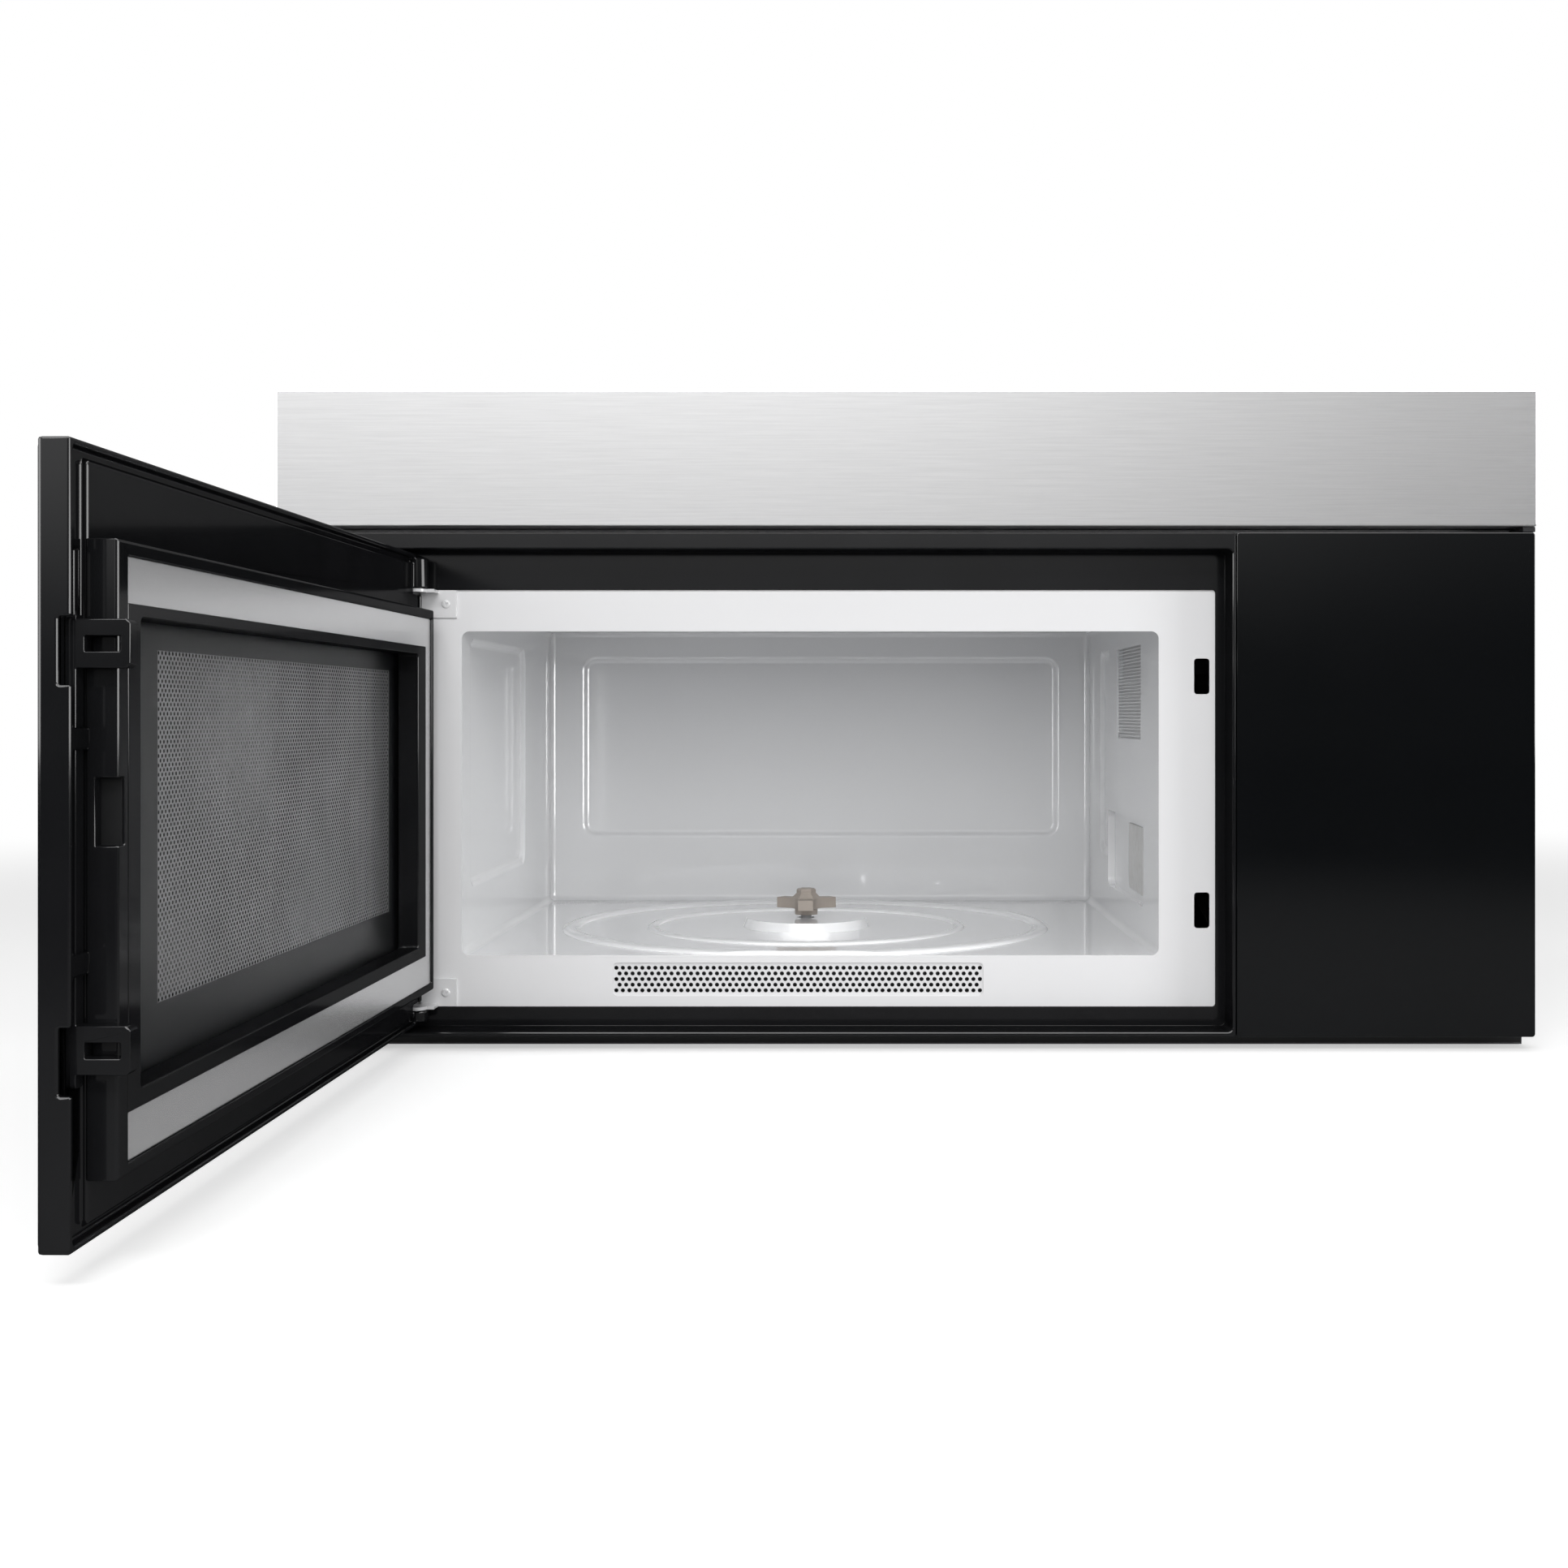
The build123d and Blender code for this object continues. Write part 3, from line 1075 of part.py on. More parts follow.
blower_wheels = {}
for side, place in ((-1, "left"), (1, "right")):
    inner = side * (SCROLL_X - WHEEL_WIDTH / 2)
    outer = side * (SCROLL_X + WHEEL_WIDTH / 2)
    with BuildPart() as blower_wheel:
        # forward-leaning blades between a back plate on the motor side and a ring round the inlet
        with BuildSketch(side_plane(inner)):
            with Locations((blower_y, blower_z)):
                with PolarLocations(WHEEL_RADIUS - BLADE_CHORD / 2, WHEEL_BLADES):
                    Rectangle(BLADE_CHORD, SHEET, rotation=BLADE_LEAN)
        extrude(amount=outer - inner)
        with BuildSketch(side_plane(inner)):
            with Locations((blower_y, blower_z)):
                Circle(WHEEL_RADIUS)
        extrude(amount=side * WHEEL_PLATE)
        with BuildSketch(side_plane(outer)):
            with Locations((blower_y, blower_z)):
                Circle(WHEEL_RADIUS)
                Circle(WHEEL_RADIUS - BLADE_CHORD, mode=Mode.SUBTRACT)
        extrude(amount=-side * WHEEL_PLATE)
        with BuildSketch(side_plane(inner)):
            with Locations((blower_y, blower_z)):
                Circle(WHEEL_HUB)
        extrude(amount=side * HUB_LENGTH)
        with BuildSketch(side_plane(inner)):
            with Locations((blower_y, blower_z)):
                Circle(SHAFT_RADIUS + SHAFT_CLEARANCE)
        extrude(amount=side * HUB_LENGTH, mode=Mode.SUBTRACT)
    blower_wheels[place] = blower_wheel

# ---- exhaust collar and damper ---------------------------------------------------------------------------
flap_pin_y = duct_back - 3.0
flap_z = BODY_HEIGHT + FLAP_RISE
with BuildPart() as exhaust_collar:
    with BuildSketch(Plane.XY.offset(BODY_HEIGHT)):
        with Locations((0, (duct_front + duct_back) / 2)):
            RectangleRounded(DUCT_WIDTH + 2 * COLLAR_FLANGE, DUCT_DEPTH + 2 * COLLAR_FLANGE, 4)
            Rectangle(DUCT_WIDTH, DUCT_DEPTH, mode=Mode.SUBTRACT)
    extrude(amount=SHEET)
    with BuildSketch(Plane.XY.offset(BODY_HEIGHT)):
        with Locations((0, (duct_front + duct_back) / 2)):
            Rectangle(DUCT_WIDTH + 2 * SHEET, DUCT_DEPTH + 2 * SHEET)
            Rectangle(DUCT_WIDTH, DUCT_DEPTH, mode=Mode.SUBTRACT)
    extrude(amount=COLLAR_HEIGHT)
    # stop for the flap, and its pivot holes
    with BuildSketch(Plane.XY.offset(flap_z - 2.3)):
        with Locations((0, duct_front + 2)):
            Rectangle(DUCT_WIDTH, 4)
    extrude(amount=1)
    with BuildSketch(side_plane(-DUCT_WIDTH / 2 - 2 * SHEET)):
        with Locations((flap_pin_y, flap_z)):
            Circle(FLAP_PIN + SHAFT_CLEARANCE)
    extrude(amount=DUCT_WIDTH + 4 * SHEET, mode=Mode.SUBTRACT)

with BuildPart() as damper_flap:
    with BuildSketch(side_plane(-DUCT_WIDTH / 2 + 1.5)):
        with Locations((flap_pin_y, flap_z)):
            Circle(2.2)
        rect(duct_front + 1.5, flap_pin_y, flap_z - SHEET, flap_z)
    extrude(amount=DUCT_WIDTH - 3)
    with BuildSketch(side_plane(-DUCT_WIDTH / 2 - 3)):
        with Locations((flap_pin_y, flap_z)):
            Circle(FLAP_PIN)
    extrude(amount=DUCT_WIDTH + 6)

# ---- cavity lamp -----------------------------------------------------------------------------------------
lamp_z = opening_top - LAMP_LEVEL
oven_lamp_y = plate_y + CAVITY_DEPTH / 2 + 2.5
lamp_socket = cavity_right + LAMP_REACH
with BuildPart() as cavity_lamp_holder:
    with BuildSketch(front_plane(oven_lamp_y + LAMP_HOLDER / 2)):
        rect(cavity_right + SHEET, cavity_right + 2 * SHEET, lamp_z - 10, lamp_z + 20)
        rect(cavity_right + SHEET, lamp_socket + 18, lamp_z + 16, lamp_z + 17)
        rect(lamp_socket, lamp_socket + 18, lamp_z - 7, lamp_z + 17)
    extrude(amount=LAMP_HOLDER)

with BuildPart() as cavity_lamp:
    with BuildSketch(side_plane(lamp_socket)):
        with Locations((oven_lamp_y, lamp_z)):
            Circle(6)
    extrude(amount=-8)
    with BuildSketch(side_plane(lamp_socket - 8)):
        with Locations((oven_lamp_y, lamp_z)):
            Circle(9)
    extrude(amount=-26)

# ---- output ----------------------------------------------------------------------------------------------
top_fascia.part.label = "top_fascia"
export_step(top_fascia.part, "parts/top_fascia.step")

fascia_carrier.part.label = "fascia_carrier"
export_step(fascia_carrier.part, "parts/fascia_carrier.step")

front_frame.part.label = "front_frame"
export_step(front_frame.part, "parts/front_frame.step")

control_housing.part.label = "control_housing"
export_step(control_housing.part, "parts/control_housing.step")

control_glass.part.label = "control_glass"
export_step(control_glass.part, "parts/control_glass.step")

control_board.part.label = "control_board"
export_step(control_board.part, "parts/control_board.step")

board_components.part.label = "board_components"
export_step(board_components.part, "parts/board_components.step")

front_plate.part.label = "front_plate"
export_step(front_plate.part, "parts/front_plate.step")

front_vent_grille.part.label = "front_vent_grille"
export_step(front_vent_grille.part, "parts/front_vent_grille.step")

cavity_shell.part.label = "cavity_shell"
export_step(cavity_shell.part, "parts/cavity_shell.step")

waveguide_cover.part.label = "waveguide_cover"
export_step(waveguide_cover.part, "parts/waveguide_cover.step")

waveguide.part.label = "waveguide"
export_step(waveguide.part, "parts/waveguide.step")

turntable_motor.part.label = "turntable_motor"
export_step(turntable_motor.part, "parts/turntable_motor.step")

turntable_shaft.part.label = "turntable_shaft"
export_step(turntable_shaft.part, "parts/turntable_shaft.step")

turntable_coupler.part.label = "turntable_coupler"
export_step(turntable_coupler.part, "parts/turntable_coupler.step")

outer_case.part.label = "outer_case"
export_step(outer_case.part, "parts/outer_case.step")

rear_plate.part.label = "rear_plate"
export_step(rear_plate.part, "parts/rear_plate.step")

base_plate.part.label = "base_plate"
export_step(base_plate.part, "parts/base_plate.step")

cooktop_lamp_lens.part.label = "cooktop_lamp_lens"
export_step(cooktop_lamp_lens.part, "parts/cooktop_lamp_lens.step")

cooktop_lamp_housing.part.label = "cooktop_lamp_housing"
export_step(cooktop_lamp_housing.part, "parts/cooktop_lamp_housing.step")

cooktop_lamp_bulbs.part.label = "cooktop_lamp_bulbs"
export_step(cooktop_lamp_bulbs.part, "parts/cooktop_lamp_bulbs.step")

cord_grommet.part.label = "cord_grommet"
export_step(cord_grommet.part, "parts/cord_grommet.step")

hinge_pins.part.label = "hinge_pins"
export_step(hinge_pins.part, "parts/hinge_pins.step")

door_outer_frame.part.label = "door_outer_frame"
export_step(door_outer_frame.part, "parts/door_outer_frame.step")

door_outer_glass.part.label = "door_outer_glass"
export_step(door_outer_glass.part, "parts/door_outer_glass.step")

door_screen_panel.part.label = "door_screen_panel"
export_step(door_screen_panel.part, "parts/door_screen_panel.step")

door_inner_pane.part.label = "door_inner_pane"
export_step(door_inner_pane.part, "parts/door_inner_pane.step")

door_choke_cover.part.label = "door_choke_cover"
export_step(door_choke_cover.part, "parts/door_choke_cover.step")

door_window_bezel.part.label = "door_window_bezel"
export_step(door_window_bezel.part, "parts/door_window_bezel.step")

latch_lever.part.label = "latch_lever"
export_step(latch_lever.part, "parts/latch_lever.step")

latch_bracket.part.label = "latch_bracket"
export_step(latch_bracket.part, "parts/latch_bracket.step")

interlock_switches.part.label = "interlock_switches"
export_step(interlock_switches.part, "parts/interlock_switches.step")

magnetron.part.label = "magnetron"
export_step(magnetron.part, "parts/magnetron.step")

transformer_core.part.label = "transformer_core"
export_step(transformer_core.part, "parts/transformer_core.step")

transformer_windings.part.label = "transformer_windings"
export_step(transformer_windings.part, "parts/transformer_windings.step")

hv_capacitor.part.label = "hv_capacitor"
export_step(hv_capacitor.part, "parts/hv_capacitor.step")

fan_shroud.part.label = "fan_shroud"
export_step(fan_shroud.part, "parts/fan_shroud.step")

fan_motor.part.label = "fan_motor"
export_step(fan_motor.part, "parts/fan_motor.step")

fan_impeller.part.label = "fan_impeller"
export_step(fan_impeller.part, "parts/fan_impeller.step")

blower_motor.part.label = "blower_motor"
export_step(blower_motor.part, "parts/blower_motor.step")

blower_shaft.part.label = "blower_shaft"
export_step(blower_shaft.part, "parts/blower_shaft.step")

exhaust_collar.part.label = "exhaust_collar"
export_step(exhaust_collar.part, "parts/exhaust_collar.step")

damper_flap.part.label = "damper_flap"
export_step(damper_flap.part, "parts/damper_flap.step")

cavity_lamp_holder.part.label = "cavity_lamp_holder"
export_step(cavity_lamp_holder.part, "parts/cavity_lamp_holder.step")

cavity_lamp.part.label = "cavity_lamp"
export_step(cavity_lamp.part, "parts/cavity_lamp.step")

grease_filters["left"].part.label = "grease_filter_left"
export_step(grease_filters["left"].part, "parts/grease_filter_left.step")

grease_filters["right"].part.label = "grease_filter_right"
export_step(grease_filters["right"].part, "parts/grease_filter_right.step")

brackets["upper"].part.label = "hinge_bracket_upper"
export_step(brackets["upper"].part, "parts/hinge_bracket_upper.step")

brackets["lower"].part.label = "hinge_bracket_lower"
export_step(brackets["lower"].part, "parts/hinge_bracket_lower.step")

blower_wheels["left"].part.label = "blower_wheel_left"
export_step(blower_wheels["left"].part, "parts/blower_wheel_left.step")

blower_wheels["right"].part.label = "blower_wheel_right"
export_step(blower_wheels["right"].part, "parts/blower_wheel_right.step")

blower_scrolls["left"].part.label = "blower_scroll_left"
export_step(blower_scrolls["left"].part, "parts/blower_scroll_left.step")

blower_scrolls["right"].part.label = "blower_scroll_right"
export_step(blower_scrolls["right"].part, "parts/blower_scroll_right.step")

component_shelf.part.label = "component_shelf"
export_step(component_shelf.part, "parts/component_shelf.step")
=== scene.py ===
"""Looks of the over the range microwave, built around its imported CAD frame.

Metres, in the CAD's frame: +X to the right, the front faces -Y, +Z up. The door's own meshes are drawn with
the door shut, where its sides lie along the axes. OPENED swings them to where the CAD door is at rest.
"""

import json
from math import cos, pi, radians, sin, tau

import bmesh
import bpy
from mathutils import Matrix, Vector


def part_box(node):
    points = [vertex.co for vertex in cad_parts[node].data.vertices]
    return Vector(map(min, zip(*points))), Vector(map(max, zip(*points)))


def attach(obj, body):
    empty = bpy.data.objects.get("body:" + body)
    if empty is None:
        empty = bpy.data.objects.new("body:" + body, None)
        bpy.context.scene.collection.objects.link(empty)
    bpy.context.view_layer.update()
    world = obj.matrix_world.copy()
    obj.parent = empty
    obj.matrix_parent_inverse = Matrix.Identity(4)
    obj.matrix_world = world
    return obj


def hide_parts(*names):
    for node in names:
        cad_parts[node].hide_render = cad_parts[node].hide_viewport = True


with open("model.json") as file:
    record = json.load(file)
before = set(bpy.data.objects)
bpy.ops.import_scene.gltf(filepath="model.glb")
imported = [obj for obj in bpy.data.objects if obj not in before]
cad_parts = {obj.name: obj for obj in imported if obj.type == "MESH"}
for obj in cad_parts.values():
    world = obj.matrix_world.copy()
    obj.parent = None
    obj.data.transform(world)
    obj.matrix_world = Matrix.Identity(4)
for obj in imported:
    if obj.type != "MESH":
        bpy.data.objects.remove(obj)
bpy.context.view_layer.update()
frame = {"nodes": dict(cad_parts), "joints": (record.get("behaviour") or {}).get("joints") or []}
NODES = frame["nodes"]
JOINTS = {joint["name"]: joint for joint in frame["joints"]}
MM = 0.001
MERGE = 0.002 * MM  # points closer than this are one
FLAT = radians(0.4)  # faces that meet at less than this angle are one

# ---- the door's place ----------------------------------------------------------------------------
PIN = Vector(JOINTS["door_hinge"]["pos_m"])
SWING = radians(JOINTS["door_hinge"]["range_deg"][1])
OPENED = Matrix.Translation(PIN) @ Matrix.Rotation(-SWING, 4, "Z") @ Matrix.Translation(-PIN)
SHUT = OPENED.inverted()
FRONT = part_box("control_glass")[0].y  # the front face


def shut_box(node):
    """(lowest corner, highest corner) of a door node with the door shut."""
    corners = [SHUT @ vertex.co for vertex in NODES[node].data.vertices]
    low = Vector(min(corner[axis] for corner in corners) for axis in range(3))
    high = Vector(max(corner[axis] for corner in corners) for axis in range(3))
    return low, high


# ---- meshes --------------------------------------------------------------------------------------
def new_piece(name, mesh, body, material):
    """A mesh object of the assembly that rides on a CAD body."""
    mesh.name = name
    piece = bpy.data.objects.new(name, mesh)
    bpy.context.scene.collection.objects.link(piece)
    piece.data.materials.clear()
    piece.data.materials.append(material)
    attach(piece, body)
    return piece


def mesh_from(vertices, faces):
    """A mesh with its doubled points merged and its faces turned outwards."""
    mesh = bpy.data.meshes.new("mesh")
    mesh.from_pydata(vertices, [], faces)
    shape = bmesh.new()
    shape.from_mesh(mesh)
    bmesh.ops.remove_doubles(shape, verts=shape.verts, dist=MERGE)
    bmesh.ops.recalc_face_normals(shape, faces=shape.faces)
    shape.to_mesh(mesh)
    shape.free()
    return mesh


def block(low, high):
    """A box between two corners, as a mesh."""
    vertices = [(x, y, z) for x in (low[0], high[0]) for y in (low[1], high[1]) for z in (low[2], high[2])]
    faces = [(0, 1, 3, 2), (4, 6, 7, 5), (0, 4, 5, 1), (2, 3, 7, 6), (0, 2, 6, 4), (1, 5, 7, 3)]
    return mesh_from(vertices, faces)


def joined(meshes, name):
    """One mesh of several. Those that went into it are removed."""
    shape = bmesh.new()
    for part in meshes:
        shape.from_mesh(part)
        bpy.data.meshes.remove(part)
    mesh = bpy.data.meshes.new(name)
    shape.to_mesh(mesh)
    shape.free()
    return mesh


def welded_copy(node):
    """A copy of a CAD node's mesh, with its doubled points merged."""
    mesh = NODES[node].data.copy()
    clear_custom_normals(mesh)
    shape = bmesh.new()
    shape.from_mesh(mesh)
    bmesh.ops.remove_doubles(shape, verts=shape.verts, dist=MERGE)
    shape.to_mesh(mesh)
    shape.free()
    return mesh


def clear_custom_normals(mesh):
    """Lets Blender work out the shading of an imported mesh."""
    stored = mesh.attributes.get("custom_normal")
    if stored:
        mesh.attributes.remove(stored)


def evaluated(piece):
    """The piece's mesh with its modifiers applied."""
    bpy.context.view_layer.update()
    graph = bpy.context.evaluated_depsgraph_get()
    return bpy.data.meshes.new_from_object(piece.evaluated_get(graph))


def cut(mesh, *blocks):
    """A mesh with other meshes taken out of it."""
    work = bpy.data.objects.new("work", mesh)
    bpy.context.scene.collection.objects.link(work)
    tools = []
    for tool_mesh in blocks:
        tool = bpy.data.objects.new("tool", tool_mesh)
        bpy.context.scene.collection.objects.link(tool)
        modifier = work.modifiers.new("cut", "BOOLEAN")
        modifier.operation = "DIFFERENCE"
        modifier.solver = "EXACT"
        modifier.object = tool
        tools.append(tool)
    result = evaluated(work)
    for spare in [work, *tools]:
        bpy.data.objects.remove(spare)
    return result


def soften(piece, width, segments=2, angle=32.0, clamped=True):
    """Rounds the edges of a piece or of a CAD node, so that they catch the light.

    A clamped width is only what the piece's shortest edge allows.
    """
    clear_custom_normals(piece.data)
    piece.data.polygons.foreach_set("use_smooth", [True] * len(piece.data.polygons))
    weld = piece.modifiers.new("weld", "WELD")
    weld.merge_threshold = MERGE
    flatten = piece.modifiers.new("flatten", "DECIMATE")
    flatten.decimate_type = "DISSOLVE"
    flatten.angle_limit = FLAT
    bevel = piece.modifiers.new("soft_edges", "BEVEL")
    bevel.width = width
    bevel.segments = segments
    bevel.limit_method = "ANGLE"
    bevel.angle_limit = radians(angle)
    bevel.harden_normals = True
    bevel.use_clamp_overlap = clamped
    bevel.miter_outer = "MITER_ARC"
    normals = piece.modifiers.new("normals", "WEIGHTED_NORMAL")
    normals.keep_sharp = True


def smooth(piece, angle=40.0):
    """Shades a piece smooth, with its sharper edges kept."""
    piece.data.polygons.foreach_set("use_smooth", [True] * len(piece.data.polygons))
    piece.data.set_sharp_from_angle(angle=radians(angle))


def hole_cell(centre, size, radius, steps, vertices, faces, front, back):
    """One cell of a perforated sheet: a rectangle with a round hole, both faces and the hole's wall."""
    width, height = size
    x, z = centre
    corners = [(-1, -1), (1, -1), (1, 1), (-1, 1)]
    rim = []
    for side in range(4):
        start = Vector(corners[side])
        end = Vector(corners[(side + 1) % 4])
        count = steps[side % 2]
        for step in range(count):
            rim.append(start.lerp(end, step / count))
    total = len(rim)
    base = len(vertices)
    for depth in (front, back):
        for point in rim:
            vertices.append((x + point.x * width / 2, depth, z + point.y * height / 2))
        for point in rim:
            direction = Vector((point.x * width, point.y * height)).normalized()
            vertices.append((x + direction.x * radius, depth, z + direction.y * radius))
    outer_front, inner_front, outer_back, inner_back = (base + loop * total for loop in range(4))
    for step in range(total):
        after = (step + 1) % total
        faces.append((outer_front + step, outer_front + after, inner_front + after, inner_front + step))
        faces.append((outer_back + after, outer_back + step, inner_back + step, inner_back + after))
        faces.append((inner_front + step, inner_front + after, inner_back + after, inner_back + step))


def half_cell(edge, middle, size, steps, vertices, faces, front, back):
    """The half of a cell without a hole, at either end of a staggered row."""
    width, height = size
    across, up = steps[0] // 2, steps[1]
    low, high = middle - height / 2, middle + height / 2
    bottom = [(edge + width / 2 * step / across, low) for step in range(across + 1)]
    right = [(edge + width / 2, low + height * step / up) for step in range(1, up)]
    top = [(edge + width / 2 * step / across, high) for step in range(across, -1, -1)]
    left = [(edge, high - height * step / up) for step in range(1, up)]
    outline = bottom + right + top + left
    total = len(outline)
    base = len(vertices)
    for depth in (front, back):
        vertices.extend((x, depth, z) for x, z in outline)
    faces.append(tuple(base + index for index in range(total)))
    faces.append(tuple(base + total + index for index in reversed(range(total))))


def perforated(low, high, front, back, pitch, row, radius, steps=(2, 1)):
    """A flat sheet in X and Z with staggered round holes, closed round its edge. The holes fill it evenly.

    steps is the number of edges that a cell has along X and along Z.
    """
    columns = max(2, round((high[0] - low[0]) / pitch))
    rows = max(1, round((high[1] - low[1]) / row))
    width = (high[0] - low[0]) / columns
    height = (high[1] - low[1]) / rows
    vertices, faces = [], []
    for level in range(rows):
        z = low[1] + (level + 0.5) * height
        shifted = level % 2
        for column in range(columns - shifted):
            x = low[0] + (column + 0.5 + 0.5 * shifted) * width
            hole_cell((x, z), (width, height), radius, steps, vertices, faces, front, back)
        if shifted:
            for edge in (low[0], high[0] - width / 2):
                half_cell(edge, z, (width, height), steps, vertices, faces, front, back)
    mesh = mesh_from(vertices, faces)
    shape = bmesh.new()
    shape.from_mesh(mesh)
    border = [edge for edge in shape.edges if edge.is_boundary]
    bmesh.ops.bridge_loops(shape, edges=border)
    bmesh.ops.recalc_face_normals(shape, faces=shape.faces)
    shape.to_mesh(mesh)
    shape.free()
    return mesh


# ---- materials -----------------------------------------------------------------------------------
NOISE_LOW = 0.3  # most of a noise lies between these two
NOISE_HIGH = 0.7
COAT_FADE = (0.2, 0.7)  # how far a surface has turned away where its coat starts and ends to fade
GLASS_TINT = 0.82  # opacity of the door glass in its window
PLATE_PAINTED_SHADE_HEIGHT = 10 * MM  # height below which the front plate is painted black, a painted shade under the front frame, and the width of the change
PLATE_PAINTED_SHADE_BLEND = 0.4 * MM
ENAMEL_TINT = 0.008  # by which enamel's colour and its roughness vary
ENAMEL_GRAIN = 0.015
SOFT_BLACK = (0.012, 0.012, 0.013)
WHITE = (0.75, 0.75, 0.76)


class Wiring:
    """Adds nodes to a node tree and joins them."""

    def __init__(self, tree):
        self.tree = tree

    def node(self, kind, **settings):
        made = self.tree.nodes.new(kind)
        for key, value in settings.items():
            setattr(made, key, value)
        return made

    def link(self, out_socket, in_socket):
        self.tree.links.new(out_socket, in_socket)

    def math(self, operation, *terms):
        """A sum on sockets and plain numbers."""
        made = self.node("ShaderNodeMath", operation=operation)
        for socket, term in zip(made.inputs, terms):
            if isinstance(term, (int, float)):
                socket.default_value = term
            else:
                self.link(term, socket)
        return made.outputs[0]

    def ramp(self, value, start, end, low, high, interpolation="SMOOTHSTEP"):
        """A value between start and end, mapped to low to high."""
        made = self.node("ShaderNodeMapRange", interpolation_type=interpolation)
        for socket, number in (("From Min", start), ("From Max", end), ("To Min", low), ("To Max", high)):
            made.inputs[socket].default_value = number
        self.link(value, made.inputs["Value"])
        return made.outputs["Result"]

    def axes(self, place):
        """The X, Y and Z of a place, by name."""
        split = self.node("ShaderNodeSeparateXYZ")
        self.link(place, split.inputs["Vector"])
        return split.outputs


class Finish(Wiring):
    """A procedural material under construction: a Principled shader and the nodes that feed it."""

    def __init__(self, name, colour, roughness, metallic=0.0, **constants):
        self.material = bpy.data.materials.new(name)
        self.material.use_nodes = True
        super().__init__(self.material.node_tree)
        self.shader = self.tree.nodes["Principled BSDF"]
        self.shader.inputs["Base Color"].default_value = (*colour, 1)
        self.shader.inputs["Roughness"].default_value = roughness
        self.shader.inputs["Metallic"].default_value = metallic
        for socket, value in constants.items():
            self.shader.inputs[socket.replace("_", " ")].default_value = value
        self.colour = colour
        self.place = self.node("ShaderNodeTexCoord").outputs["Object"]

    def stretched(self, scale):
        """Object coordinates, scaled along each axis in repeats per metre."""
        mapping = self.node("ShaderNodeMapping")
        mapping.inputs["Scale"].default_value = scale
        self.link(self.place, mapping.inputs["Vector"])
        return mapping.outputs["Vector"]

    def noise(self, scale, detail=3.0, roughness=0.5):
        """Noise from 0 to 1 with that many grains per metre, or one number per axis."""
        texture = self.node("ShaderNodeTexNoise")
        texture.inputs["Detail"].default_value = detail
        texture.inputs["Roughness"].default_value = roughness
        if isinstance(scale, (int, float)):
            texture.inputs["Scale"].default_value = scale
            self.link(self.place, texture.inputs["Vector"])
        else:
            texture.inputs["Scale"].default_value = 1.0
            self.link(self.stretched(scale), texture.inputs["Vector"])
        return texture.outputs["Fac"]

    def cells(self, scale):
        """Voronoi cells: (distance, colour per cell)."""
        texture = self.node("ShaderNodeTexVoronoi")
        texture.inputs["Scale"].default_value = scale
        self.link(self.place, texture.inputs["Vector"])
        return texture.outputs["Distance"], texture.outputs["Color"]

    def waves(self, scale, axis):
        """Even ridges across an axis."""
        texture = self.node("ShaderNodeTexWave", bands_direction=axis)
        texture.inputs["Scale"].default_value = scale
        self.link(self.place, texture.inputs["Vector"])
        return texture.outputs["Fac"]

    def spread(self, value, low, high, start=NOISE_LOW, end=NOISE_HIGH):
        """A value between start and end, mapped evenly to low to high."""
        return self.ramp(value, start, end, low, high, "LINEAR")

    def rough(self, value, low, high, start=NOISE_LOW, end=NOISE_HIGH):
        """Roughness between low and high."""
        self.link(self.spread(value, low, high, start, end), self.shader.inputs["Roughness"])

    def tint(self, value, other, start=NOISE_LOW, end=NOISE_HIGH):
        """Mixes the base colour towards another as the value rises."""
        mix = self.node("ShaderNodeMix", data_type="RGBA")
        mix.inputs["A"].default_value = (*self.colour, 1)
        mix.inputs["B"].default_value = (*other, 1)
        self.link(self.spread(value, 0.0, 1.0, start, end), mix.inputs["Factor"])
        self.link(mix.outputs["Result"], self.shader.inputs["Base Color"])

    def polish(self, most, least):
        """Clear coat that fades where the surface turns away, as a waxed moulding's does."""
        weight = self.node("ShaderNodeLayerWeight")
        weight.inputs["Blend"].default_value = 0.5
        facing = self.spread(weight.outputs["Facing"], most, least, *COAT_FADE)
        self.link(facing, self.shader.inputs["Coat Weight"])

    def bump(self, value, depth):
        """Relief of that depth in metres."""
        made = self.node("ShaderNodeBump")
        made.inputs["Distance"].default_value = depth
        made.inputs["Strength"].default_value = 1.0
        self.link(value, made.inputs["Height"])
        self.link(made.outputs["Normal"], self.shader.inputs["Normal"])


def brushed_steel():
    """Stainless steel brushed along X, with the streaks that the brush leaves."""
    finish = Finish("brushed_steel", (0.88, 0.88, 0.885), 0.34, 1.0)
    streaks = finish.noise((18.0, 900.0, 900.0), 4.0, 0.7)
    finish.rough(streaks, 0.31, 0.38)
    finish.tint(streaks, (0.77, 0.77, 0.775))
    finish.bump(streaks, 0.002 * MM)
    return finish.material


def gloss_black(name, gloss):
    """High-gloss black moulding with the faint waviness of a moulded face."""
    finish = Finish(name, (0.0060, 0.0062, 0.0068), 0.45, Specular_IOR_Level=0.0, Coat_Roughness=gloss)
    finish.polish(0.9, 0.12)
    finish.rough(finish.noise(22.0), 0.42, 0.48)
    finish.tint(finish.noise(25.0), (0.0078, 0.008, 0.0088))
    finish.bump(finish.noise(7.0, 1.0), 0.03 * MM)
    return finish.material


def satin_black():
    """Fine-grained black moulding."""
    finish = Finish("satin_black", SOFT_BLACK, 0.42)
    finish.rough(finish.noise(120.0), 0.36, 0.50)
    finish.tint(finish.noise(30.0), (0.016, 0.016, 0.017))
    finish.bump(finish.noise(1200.0, 2.0), 0.006 * MM)
    return finish.material


